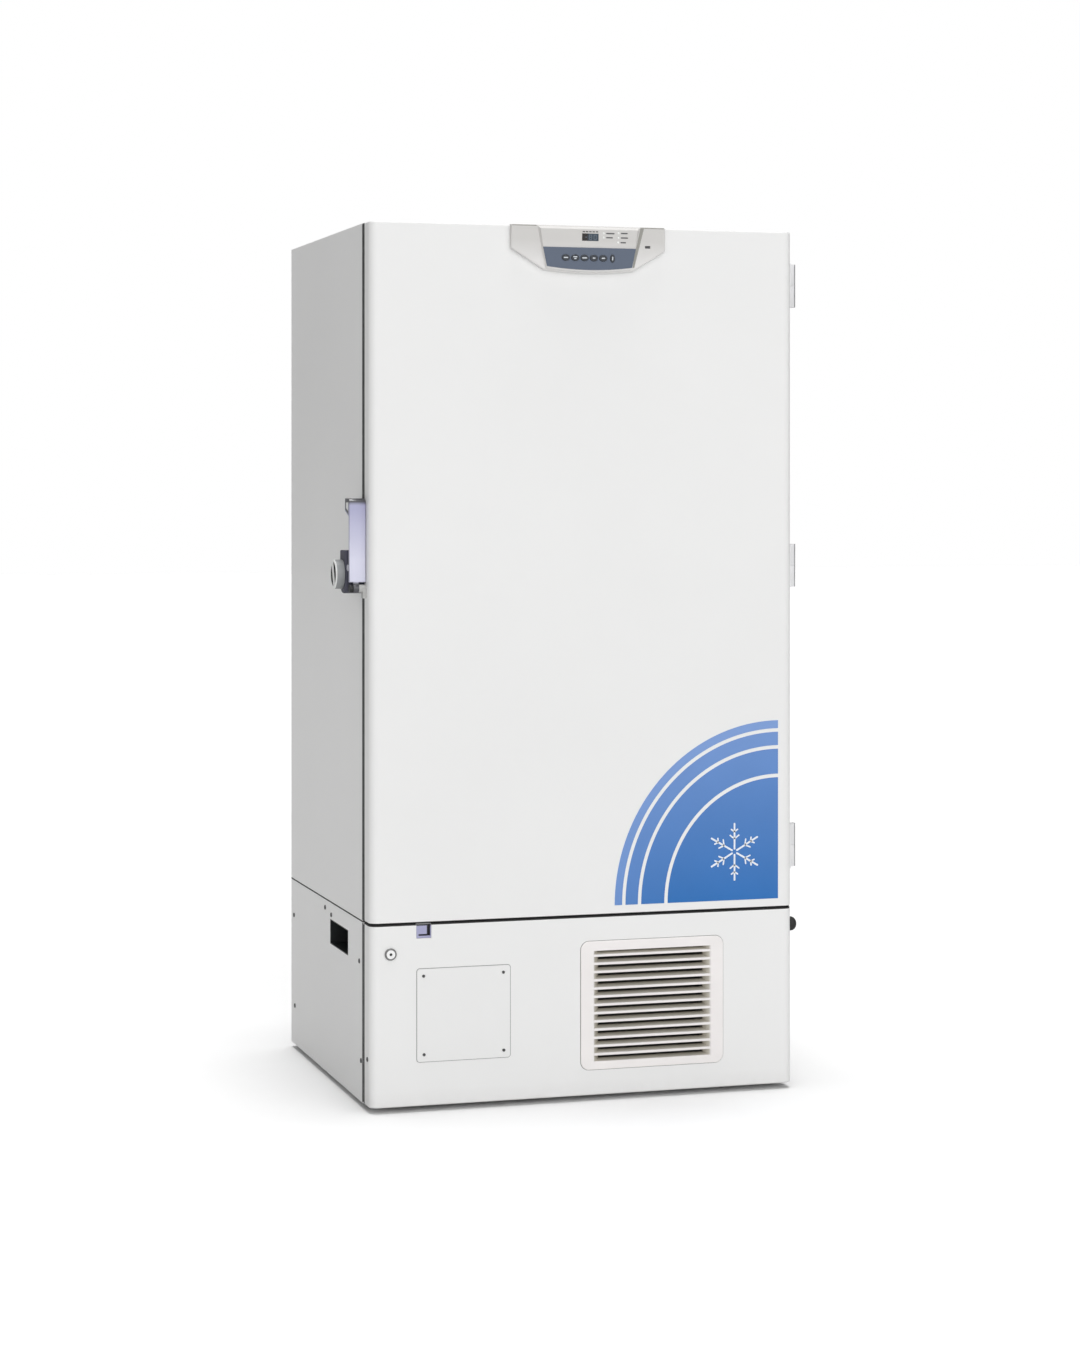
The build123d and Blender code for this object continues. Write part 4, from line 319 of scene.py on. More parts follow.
SKINS = {
    "enamel": ("Enamel skin", 1.6, 420.0, 1.5, False),
    "moulded": ("Moulded grain", 9.0, 1500.0, 2.0, True),
    "brushed": ("Brushed metal", 4.0, 60.0, 4.0, False),
    "rubber": ("Rubber skin", 14.0, 700.0, 3.0, False),
}


def surface(
    name, tint, skin, roughness, drift=0.03, spread=0.08, bump=0.1, depth=0.0001, stretch=(1, 1, 1), **extra
):
    """Material whose colour, gloss and grain come from one of the skins.

    extra may hold dust, a (level, amount) pair, and values for the shader's own sockets."""
    if name in bpy.data.materials:
        return bpy.data.materials[name]
    material = bpy.data.materials.new(name)
    material.use_nodes = True
    tree = material.node_tree
    link = tree.links.new
    shader = tree.nodes["Principled BSDF"]
    place = add_node(tree, "ShaderNodeTexCoord").outputs["Object"]
    grain = add_node(tree, "ShaderNodeGroup", node_tree=skin_group(*SKINS[skin]))
    link(place, grain.inputs["Coordinate"])
    grain.inputs["Colour"].default_value = (*tint, 1.0)
    grain.inputs["Drift"].default_value = drift
    grain.inputs["Roughness"].default_value = roughness
    grain.inputs["Spread"].default_value = spread
    grain.inputs["Stretch"].default_value = stretch
    tone = grain.outputs["Colour"]
    if "dust" in extra:
        level, amount = extra.pop("dust")
        dust = add_node(tree, "ShaderNodeGroup", node_tree=dust_group())
        link(place, dust.inputs["Coordinate"])
        link(tone, dust.inputs["Colour"])
        dust.inputs["Level"].default_value = level
        dust.inputs["Amount"].default_value = amount
        tone = dust.outputs["Colour"]
    relief = add_node(tree, "ShaderNodeBump", Strength=bump, Distance=depth)
    link(grain.outputs["Height"], relief.inputs["Height"])
    link(tone, shader.inputs["Base Color"])
    link(grain.outputs["Roughness"], shader.inputs["Roughness"])
    link(relief.outputs["Normal"], shader.inputs["Normal"])
    for socket, value in extra.items():
        shader.inputs[socket.replace("_", " ")].default_value = value
    return material


def fade_group():
    """Share of the way between two distances along a direction."""
    name = "Fade along a way"
    if name in bpy.data.node_groups:
        return bpy.data.node_groups[name]
    tree, entry, exit_node = group_tree(
        name,
        (
            ("Coordinate", VECTOR, None),
            ("Way", VECTOR, (0.0, 0.0, 1.0)),
            ("Start", NUMBER, 0.0),
            ("End", NUMBER, 1.0),
        ),
        (("Share", NUMBER, None),),
    )
    link = tree.links.new
    reach = add_node(tree, "ShaderNodeVectorMath", operation="DOT_PRODUCT")
    link(entry.outputs["Coordinate"], reach.inputs[0])
    link(entry.outputs["Way"], reach.inputs[1])
    share = add_node(tree, "ShaderNodeMapRange")
    link(reach.outputs["Value"], share.inputs["Value"])
    link(entry.outputs["Start"], share.inputs["From Min"])
    link(entry.outputs["End"], share.inputs["From Max"])
    link(share.outputs[0], exit_node.inputs["Share"])
    return tree


def graded(name, stops, start, end, roughness, way=(0.0, 0.0, 1.0), **extra):
    """Moulded plastic whose colour runs through stops, each a share of the way and a tint."""
    material = surface(name, stops[0][1], "moulded", roughness, **extra)
    tree = material.node_tree
    link = tree.links.new
    place = next(n for n in tree.nodes if n.type == "TEX_COORD").outputs["Object"]
    grain = next(n for n in tree.nodes if n.type == "GROUP")
    fade = add_node(tree, "ShaderNodeGroup", node_tree=fade_group())
    link(place, fade.inputs["Coordinate"])
    fade.inputs["Way"].default_value = way
    fade.inputs["Start"].default_value = start
    fade.inputs["End"].default_value = end
    ramp = add_node(tree, "ShaderNodeValToRGB")
    for share, _ in stops[1:-1]:
        ramp.color_ramp.elements.new(share)
    for element, (share, tint) in zip(ramp.color_ramp.elements, stops):
        element.position = share
        element.color = (*tint, 1.0)
    link(fade.outputs["Share"], ramp.inputs[0])
    link(ramp.outputs["Color"], grain.inputs["Colour"])
    return material


def pocketed(material, centre, radius, mouth, tint):
    """Darkens what lies within a radius of an axis along X and deeper than its mouth: painted shade in a
    pocket.
    """
    tree = material.node_tree
    link = tree.links.new
    place = next(n for n in tree.nodes if n.type == "TEX_COORD").outputs["Object"]
    grain = next(n for n in tree.nodes if n.type == "GROUP")
    source = grain.inputs["Colour"].links[0].from_socket
    offset = add_node(tree, "ShaderNodeVectorMath", operation="SUBTRACT")
    link(place, offset.inputs[0])
    offset.inputs[1].default_value = centre
    flat = add_node(tree, "ShaderNodeVectorMath", operation="MULTIPLY")
    link(offset.outputs[0], flat.inputs[0])
    flat.inputs[1].default_value = (0.0, 1.0, 1.0)
    reach = add_node(tree, "ShaderNodeVectorMath", operation="LENGTH")
    link(flat.outputs[0], reach.inputs[0])
    near = add_node(tree, "ShaderNodeMath", operation="LESS_THAN")
    link(reach.outputs["Value"], near.inputs[0])
    near.inputs[1].default_value = radius
    parts = add_node(tree, "ShaderNodeSeparateXYZ")
    link(place, parts.inputs[0])
    deep = add_node(tree, "ShaderNodeMath", operation="GREATER_THAN")
    link(parts.outputs["X"], deep.inputs[0])
    deep.inputs[1].default_value = mouth
    mask = add_node(tree, "ShaderNodeMath", operation="MULTIPLY")
    link(near.outputs[0], mask.inputs[0])
    link(deep.outputs[0], mask.inputs[1])
    blend = add_node(tree, "ShaderNodeMix", data_type="RGBA")
    link(mask.outputs[0], blend.inputs[0])
    link(source, blend.inputs[6])
    blend.inputs[7].default_value = (*tint, 1.0)
    link(blend.outputs[2], grain.inputs["Colour"])
    return material


def dress(material, *names):
    """Gives CAD nodes one material all over."""
    for name in names:
        mesh = NODES[name].data
        mesh.materials.clear()
        mesh.materials.append(material)


def soften(width, *names, angle=40.0):
    """Small rounded edges on CAD nodes, as modifiers over their own meshes."""
    for name in names:
        weld = NODES[name].modifiers.new("weld", "WELD")
        weld.merge_threshold = 0.00001
        edges = NODES[name].modifiers.new("edges", "BEVEL")
        edges.width = width
        edges.segments = 2
        edges.limit_method = "ANGLE"
        edges.angle_limit = math.radians(angle)
        edges.harden_normals = True


# Mesh making


def facing(direction, x, y, z):
    """Matrix whose local z leaves a face: local y is up, or back on a face that looks up or down."""
    out = {
        "front": Vector((0, -1, 0)),
        "back": Vector((0, 1, 0)),
        "left": Vector((-1, 0, 0)),
        "right": Vector((1, 0, 0)),
        "up": Vector((0, 0, 1)),
        "down": Vector((0, 0, -1)),
    }[direction]
    up = Vector((0, 1, 0)) if direction in ("up", "down") else Vector((0, 0, 1))
    across = up.cross(out)
    place = Matrix((across, up, out)).transposed().to_4x4()
    place.translation = Vector((x, y, z))
    return place


def oval(width, height, steps, x=0.0, y=0.0):
    """Points of an ellipse."""
    turns = [2 * math.pi * step / steps for step in range(steps)]
    return [(x + width / 2 * math.cos(turn), y + height / 2 * math.sin(turn)) for turn in turns]


def rounded(width, height, radius, steps=6, x=0.0, y=0.0):
    """Points of a rectangle with round corners."""
    points = []
    for corner, (side, end) in enumerate(((1, 1), (-1, 1), (-1, -1), (1, -1))):
        for step in range(steps + 1):
            turn = math.pi / 2 * (corner + step / steps)
            points.append(
                (
                    x + side * (width / 2 - radius) + radius * math.cos(turn),
                    y + end * (height / 2 - radius) + radius * math.sin(turn),
                )
            )
    return points


def bowed(radius, thickness, start, end, steps=6):
    """Points of a thin band outside an arc, between two angles in degrees."""
    turns = [math.radians(start + (end - start) * step / steps) for step in range(steps + 1)]
    inner = [(radius * math.cos(turn), radius * math.sin(turn)) for turn in turns]
    rim = radius + thickness
    outer = [(rim * math.cos(turn), rim * math.sin(turn)) for turn in turns]
    return inner + outer[::-1]


def add_prism(bm, outline, place, depth, bevel=0.0):
    """Prism from an outline in local x and y, raised along local z, with an eased front edge."""
    foot = [bm.verts.new(place @ Vector((x, y, 0.0))) for x, y in outline]
    head = [bm.verts.new(place @ Vector((x, y, depth))) for x, y in outline]
    count = len(outline)
    bm.faces.new(reversed(foot))
    top = bm.faces.new(head)
    for step in range(count):
        after = (step + 1) % count
        bm.faces.new((foot[step], foot[after], head[after], head[step]))
    if bevel:
        bmesh.ops.bevel(
            bm,
            geom=list(top.edges),
            offset=bevel,
            offset_type="OFFSET",
            segments=2,
            profile=0.5,
            affect="EDGES",
        )


def front_path(start, end, steps=8):
    """Points along the front outline of the door and the cover, with inward normals.

    It runs between two places across. A start or an end at a side carries on round the
    rounded edge to the back of the door."""
    left = [(LEFT, DOOR_HIGH.y - 2 * MM, 1.0, 0.0)]
    for step in range(steps + 1):
        turn = math.pi / 2 * step / steps
        nx, ny = math.cos(turn), math.sin(turn)
        left.append((LEFT + EDGE * (1 - nx), FRONT + EDGE * (1 - ny), nx, ny))
    right = [(LEFT + RIGHT - x, y, -nx, ny) for x, y, nx, ny in reversed(left)]
    path = left if start <= LEFT else [(start, FRONT, 0.0, 1.0)]
    return path + (right if end >= RIGHT else [(end, FRONT, 0.0, 1.0)])


def add_strip(bm, path, profile, height):
    """Strip swept along a path, with its section as (distance in from the outline, height) points."""
    loops = [
        [bm.verts.new((x + nx * inset, y + ny * inset, height + rise)) for inset, rise in profile]
        for x, y, nx, ny in path
    ]
    count = len(profile)
    for near, far in zip(loops, loops[1:]):
        for step in range(count):
            after = (step + 1) % count
            bm.faces.new((near[step], near[after], far[after], far[step]))
    bm.faces.new(loops[0])
    bm.faces.new(reversed(loops[-1]))


def add_ring(bm, outer, inner, place, depth):
    """Frame between two outlines with as many points each, raised along local z."""
    count = len(outer)
    loops = []
    for outline, height in ((outer, 0.0), (outer, depth), (inner, depth), (inner, 0.0)):
        loops.append([bm.verts.new(place @ Vector((x, y, height))) for x, y in outline])
    for near, far in zip(loops, loops[1:] + loops[:1]):
        for step in range(count):
            after = (step + 1) % count
            bm.faces.new((near[step], near[after], far[after], far[step]))


def add_lathe(bm, profile, place, steps):
    """Turned solid from (radius, height) points about local z; an end with no radius closes to a point."""
    rings = []
    for radius, height in profile:
        if radius == 0:
            rings.append([bm.verts.new(place @ Vector((0, 0, height)))])
        else:
            circle = oval(2 * radius, 2 * radius, steps)
            rings.append([bm.verts.new(place @ Vector((x, y, height))) for x, y in circle])
    for low, high in zip(rings, rings[1:]):
        for step in range(steps):
            after = (step + 1) % steps
            if len(low) == 1:
                bm.faces.new((low[0], high[after], high[step]))
            elif len(high) == 1:
                bm.faces.new((low[step], low[after], high[0]))
            else:
                bm.faces.new((low[step], low[after], high[after], high[step]))


def add_screw(bm, place, radius, height, turn=0.0):
    """Pan head with a cross recess."""
    steps = 24
    slot = radius * 0.16
    reach = radius * 0.58
    twist = Matrix.Rotation(turn, 4, "Z")
    add_lathe(
        bm,
        [(radius, 0.0), (radius, height * 0.45), (radius * 0.93, height * 0.78), (radius * 0.78, height)],
        place,
        steps,
    )
    rim = bm.verts[:][-steps:]
    cross = [
        (slot, slot), (slot, reach), (-slot, reach), (-slot, slot), (-reach, slot), (-reach, -slot),
        (-slot, -slot), (-slot, -reach), (slot, -reach), (slot, -slot), (reach, -slot), (reach, slot),
    ]
    mouth = [bm.verts.new(place @ twist @ Vector((x, y, height))) for x, y in cross]
    floor = [bm.verts.new(place @ twist @ Vector((x * 0.8, y * 0.8, height * 0.35))) for x, y in cross]
    edges = [bm.edges.get((rim[step], rim[(step + 1) % steps])) for step in range(steps)]
    for step in range(len(cross)):
        after = (step + 1) % len(cross)
        bm.faces.new((mouth[after], mouth[step], floor[step], floor[after]))
        edges.append(bm.edges.get((mouth[step], mouth[after])))
    bm.faces.new(floor)
    bmesh.ops.triangle_fill(bm, edges=edges, use_beauty=True)


def add_piece(name, bm, material, body, angle=35.0):
    """Object from a finished mesh, smooth except over sharp edges, that rides on a body."""
    bmesh.ops.remove_doubles(bm, verts=bm.verts, dist=0.0000005)
    bmesh.ops.recalc_face_normals(bm, faces=bm.faces)
    mesh = bpy.data.meshes.new(name)
    bm.to_mesh(mesh)
    bm.free()
    mesh.shade_smooth()
    mesh.set_sharp_from_angle(angle=math.radians(angle))
    mesh.materials.append(material)
    made = bpy.data.objects.new(name, mesh)
    bpy.context.scene.collection.objects.link(made)
    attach(made, body)
    return made


def add_tube(name, points, radius, material, body):
    """Rigid pipe along a smooth curve through control points."""
    curve = bpy.data.curves.new(name, "CURVE")
    curve.dimensions = "3D"
    curve.bevel_depth = radius
    curve.bevel_resolution = 3
    curve.resolution_u = 8
    curve.use_fill_caps = True
    spline = curve.splines.new("NURBS")
    spline.points.add(len(points) - 1)
    for point, place in zip(spline.points, points):
        point.co = (*place, 1.0)
    spline.order_u = 3
    spline.use_endpoint_u = True
    curve.materials.append(material)
    made = bpy.data.objects.new(name, curve)
    bpy.context.scene.collection.objects.link(made)
    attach(made, body)
    return made


def screw_row(name, places, material, body, radius=None, height=None):
    """Group of like screws on one body, each turned a little further than the last."""
    sizes = settings()[1]
    bm = bmesh.new()
    for number, place in enumerate(places):
        add_screw(bm, place, radius or sizes.screw_radius, height or sizes.screw_height, 0.7 * number)
    return add_piece(name, bm, material, body)


# Finishes that several operators use


def enamel(name="White enamel", **extra):
    """White paint of the cabinet, the door and the cover."""
    tint = settings()[0].enamel
    return surface(
        name, tint, "enamel", 0.42, drift=0.012, spread=0.10, bump=0.05,
        Specular_IOR_Level=0.28, Coat_Weight=0.06, **extra,
    )


def zinc():
    """Zinc coated sheet."""
    return surface(
        "Zinc sheet", (0.52, 0.53, 0.54), "brushed", 0.38, drift=0.10, spread=0.2, bump=0.06, Metallic=1.0
    )


def plated():
    """Plated screws."""
    return surface(
        "Plated screw", (0.60, 0.60, 0.60), "brushed", 0.30, drift=0.08, spread=0.2, bump=0.05, Metallic=1.0
    )


def dark_screw():
    """Screws with a dark finish."""
    return surface(
        "Dark screw", (0.10, 0.10, 0.10), "brushed", 0.42, drift=0.1, spread=0.2, bump=0.05, Metallic=0.6
    )


def black_rubber_and_shade():
    """Black rubber, and black films of painted shade in the seams."""
    return surface("Black rubber and painted shade", settings()[0].rubber, "rubber", 0.62, drift=0.25, spread=0.15, bump=0.15)


def ink_and_shade():
    """Dark printed marks, and dark lines of painted shade such as the one round the grille."""
    return surface("Dark ink", settings()[0].ink_and_shade, "moulded", 0.5, drift=0.05, bump=0.02)


# Operators


class FREEZER_OT_stage(bpy.types.Operator):
    """Floor, light and camera"""

    bl_idname = "freezer.stage"
    bl_label = "Stage"

    def execute(self, context):
        colours, _, stage = settings()
        scene = context.scene
        bm = bmesh.new()
        reach = stage.floor_reach
        corners = ((-reach, -reach), (reach, -reach), (reach, reach), (-reach, reach))
        bm.faces.new([bm.verts.new((x, y, 0.0)) for x, y in corners])
        mesh = bpy.data.meshes.new("studio_floor")
        bm.to_mesh(mesh)
        bm.free()
        floor = bpy.data.objects.new("studio_floor", mesh)
        ground = surface("Studio floor", colours.floor, "moulded", 0.8, drift=0.004, bump=0.01)
        tree = ground.node_tree
        tone = tree.nodes["Principled BSDF"].inputs["Base Color"]
        blend = add_node(tree, "ShaderNodeMix", data_type="RGBA")
        tree.links.new(add_node(tree, "ShaderNodeLightPath").outputs["Is Camera Ray"], blend.inputs[0])
        blend.inputs[6].default_value = (*colours.floor_bounce, 1.0)
        tree.links.new(tone.links[0].from_socket, blend.inputs[7])
        tree.links.new(blend.outputs[2], tone)
        mesh.materials.append(ground)
        scene.collection.objects.link(floor)

        camera = bpy.data.cameras.new("camera")
        camera.lens = stage.lens
        camera.sensor_width = 36.0
        camera.shift_y = stage.shift
        camera.clip_end = 100.0
        eye = bpy.data.objects.new("camera", camera)
        eye.location = Vector(stage.eye) + Vector((CENTRE, FRONT, 0.0))
        eye.rotation_euler = (math.pi / 2, 0.0, -stage.yaw)
        scene.collection.objects.link(eye)
        scene.camera = eye
        scene.view_settings.view_transform = "Standard"

        world = bpy.data.worlds.new("studio")
        world.use_nodes = True
        tree = world.node_tree
        way = add_node(tree, "ShaderNodeTexCoord").outputs["Generated"]
        reach = add_node(tree, "ShaderNodeVectorMath", operation="DOT_PRODUCT")
        tree.links.new(way, reach.inputs[0])
        reach.inputs[1].default_value = (0.0, -1.0, 0.0)
        lobe = add_node(tree, "ShaderNodeMapRange", interpolation_type="SMOOTHSTEP")
        lobe.inputs["From Min"].default_value = stage.front_start
        lobe.inputs["From Max"].default_value = stage.front_end
        lobe.inputs["To Max"].default_value = stage.front
        across = add_node(tree, "ShaderNodeSeparateXYZ")
        tree.links.new(way, across.inputs[0])
        right = 0.6  # direction across where the right fill is reached
        fill = add_node(tree, "ShaderNodeMapRange", From_Min=0.0, From_Max=right)
        fill.inputs["To Min"].default_value = stage.fill
        fill.inputs["To Max"].default_value = stage.fill_right
        tree.links.new(across.outputs["X"], fill.inputs["Value"])
        tree.links.new(fill.outputs[0], lobe.inputs["To Min"])
        tree.links.new(reach.outputs["Value"], lobe.inputs["Value"])
        seen = add_node(tree, "ShaderNodeLightPath").outputs["Is Camera Ray"]
        bright = add_node(tree, "ShaderNodeMath", operation="MAXIMUM")
        tree.links.new(lobe.outputs[0], bright.inputs[0])
        tree.links.new(seen, bright.inputs[1])
        sky = tree.nodes["Background"]
        sky.inputs["Color"].default_value = (1.0, 1.0, 1.0, 1.0)
        tree.links.new(bright.outputs[0], sky.inputs["Strength"])
        scene.world = world
        lamp = bpy.data.lights.new("top_light", "SUN")
        lamp.energy = stage.top_power
        lamp.angle = math.radians(stage.top_spread)
        light = bpy.data.objects.new("top_light", lamp)
        light.location = (1.0, -1.0, 6.0)
        light.rotation_euler = Vector(stage.top_way).to_track_quat("-Z", "Y").to_euler()
        scene.collection.objects.link(light)
        return {"FINISHED"}


class FREEZER_OT_cabinet(bpy.types.Operator):
    """Shell, machine panels, their screws, black strips of painted shade in the seams and the fittings at the
    back
    """

    bl_idname = "freezer.cabinet"
    bl_label = "Cabinet"

    def execute(self, context):
        _, sizes, _ = settings()
        steps = sizes.round_steps
        dress(enamel(), "outer_shell", "side_panel_left", "side_panel_right")
        dress(zinc(), "rear_panel", "wall_brackets", "base_frame", "cover_hinge_brackets")
        foam = surface("Insulating foam", (0.80, 0.70, 0.42), "moulded", 0.9, drift=0.1, bump=0.3)
        dress(foam, "cabinet_insulation", "door_insulation")
        soften(0.0012, "wall_brackets")
        # distance behind the door's front and height, in mm
        side_places = ((452, 401), (387, 392), (101, 328), (804, 333), (794, 109), (83.5, 106))
        screw_row(
            "side_screws",
            [
                facing(side, x, FRONT + depth * MM, z * MM)
                for side, x in (("left", LEFT), ("right", RIGHT))
                for depth, z in side_places
            ],
            dark_screw(),
            "cabinet",
        )
        panel_low, panel_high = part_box("side_panel_left")
        gap = SHELL_LOW.z - panel_high.z
        # Black strips in the seams beside the side panels, beside the cover and round the door: painted shade
        # standing for the dark seams
        strip_wide, strip_inset, end_gap = 0.0058, 0.0032, 0.002
        bm = bmesh.new()
        for x in (LEFT + strip_inset, RIGHT - strip_inset):
            place = facing("back", x, SHELL_LOW.y + end_gap, panel_high.z + gap / 2)
            outline = rounded(strip_wide, gap - 0.2 * MM, 0.5 * MM, 3)
            add_prism(bm, outline, place, BACK - SHELL_LOW.y - 2 * end_gap)
        cover_low, cover_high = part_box("front_cover")
        seam = panel_low.y - cover_high.y
        post_wide, post_inset, post_gap, slack = 0.010, 0.0052, 0.004, 0.0012
        middle_y = panel_low.y - seam / 2 + slack / 2
        place = facing("up", LEFT + post_inset, middle_y, cover_low.z + post_gap)
        outline = rounded(post_wide, seam - slack, MM, 4)
        add_prism(bm, outline, place, cover_high.z - cover_low.z - 2 * post_gap)
        wide, tall = RIGHT - LEFT, TOP - SHELL_LOW.z
        outer, inner, clear = 0.4 * MM, 4.6 * MM, 0.8 * MM
        add_ring(
            bm,
            rounded(wide - outer, tall - outer, MM),
            rounded(wide - inner, tall - inner, MM),
            facing("front", CENTRE, SHELL_LOW.y, (TOP + SHELL_LOW.z) / 2),
            seam - clear,
        )
        add_piece("seam_shade_strips", bm, black_rubber_and_shade(), "cabinet")
        # Black films beside the seams on the sides of the cabinet, door and cover: painted shade
        shell_spans = ((panel_low.z, panel_high.z), (SHELL_LOW.z, TOP))
        band_back = DOOR_HIGH.y - BAND_WIDTH
        for name, body, y, spans in (
            ("cabinet_edge_shade_bands", "cabinet", SHELL_LOW.y, shell_spans),
            ("door_edge_shade_bands", "door", band_back, ((DOOR_LOW.z, TOP),)),
            ("cover_edge_shade_bands", "cover", band_back, ((cover_low.z, cover_high.z),)),
        ):
            bm = bmesh.new()
            for side, x in (("left", LEFT), ("right", RIGHT)):
                for low_z, high_z in spans:
                    place = facing(side, x, y + BAND_WIDTH / 2, (low_z + high_z) / 2)
                    outline = rounded(BAND_WIDTH, high_z - low_z - 0.004, 0.0008, 3)
                    add_prism(bm, outline, place, BAND_THICKNESS)
                if body == "cabinet":
                    place = facing(side, x, (SHELL_LOW.y + BACK) / 2, panel_high.z + gap / 2)
                    outline = rounded(BACK - SHELL_LOW.y - 0.002, gap + 0.0014, 0.0008, 3)
                    add_prism(bm, outline, place, BAND_THICKNESS)
            add_piece(name, bm, black_rubber_and_shade(), body)
        low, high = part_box("rear_panel")
        inset, rise, columns = 0.02, 0.015, 5
        pitch = (high.x - low.x - 2 * inset) / (columns - 1)
        xs = [low.x + inset + pitch * column for column in range(columns)]
        screw_row(
            "rear_screws",
            [facing("back", x, high.y, z) for x in xs for z in (low.z + rise, high.z - rise)],
            plated(),
            "cabinet",
        )
        bm = bmesh.new()
        # radius and height, in mm
        cap = ((0, 0), (40, 0), (40, 4), (38, 5.5), (30, 6), (28, 14), (25, 16), (0, 16))
        ports = ((-0.30, 1.52), (0.30, 0.62))  # place across from the middle and height
        for x, z in ports:
            add_lathe(bm, [(r * MM, h * MM) for r, h in cap], facing("back", CENTRE + x, BACK, z), steps)
        add_piece("access_port_caps", bm, black_rubber_and_shade(), "cabinet")
        bracket_low, bracket_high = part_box("wall_brackets")
        plate_z = (bracket_low.z + bracket_high.z) / 2 - 0.006
        plate_thickness, half_plate, reach = 0.005, 0.03, 0.017
        screw_row(
            "wall_bracket_screws",
            [
                facing("back", x + offset, BACK + plate_thickness, plate_z)
                for x in (bracket_low.x + half_plate, bracket_high.x - half_plate)
                for offset in (-reach, reach)
            ],
            plated(),
            "cabinet",
        )
        return {"FINISHED"}


class FREEZER_OT_door(bpy.types.Operator):
    """Door skin, liner, gasket and hinges"""

    bl_idname = "freezer.door"
    bl_label = "Door"

    def execute(self, context):
        colours, _, _ = settings()
        dress(enamel(), "door_skin")
        liner = surface("Liner plastic", (0.74, 0.75, 0.75), "moulded", 0.42, drift=0.03, bump=0.05)
        dress(liner, "door_liner", "breaker_frame")
        dress(black_rubber_and_shade(), "door_gasket")
        low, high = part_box("door_hinge_leaves")
        # The hinges' outer side turns dark: painted shade on the edge away from the light
        pale, rim = tuple(colours.hinge), tuple(colours.hinge_edge_shade)
        stops = ((0.0, pale), (0.82, pale), (0.86, rim), (1.0, rim))
        paint = graded(
            "Hinge paint", stops, low.x, high.x, 0.38, way=(1.0, 0.0, 0.0), drift=0.05, bump=0.08
        )
        dress(paint, "door_hinge_leaves", "cabinet_hinges")
        soften(0.0012, "door_hinge_leaves", "cabinet_hinges")
        # Black film on the door's lower rounded edge: painted shade in the gap above the cover
        bm = bmesh.new()
        film = [(RIM + x, RIM + y) for x, y in bowed(RIM, BAND_THICKNESS, 210, 270)]
        add_strip(bm, front_path(LEFT, RIGHT), film, DOOR_LOW.z)
        add_piece("door_foot_shade_film", bm, black_rubber_and_shade(), "door")
        leaf_x = low.x + 0.004
        rise = 0.03
        middles = (low.z + HINGE_HALF, (low.z + high.z) / 2, high.z - HINGE_HALF)
        for name, body, y in (
            ("door_hinge_screws", "door", low.y + 0.016),
            ("cabinet_hinge_screws", "cabinet", SHELL_LOW.y + 0.030),
        ):
            screw_row(
                name,
                [facing("right", leaf_x, y, z + offset) for z in middles for offset in (-rise, rise)],
                plated(),
                body,
            )
        return {"FINISHED"}


SEGMENTS = {"-": "g", "8": "abcdefg", "0": "abcdef"}


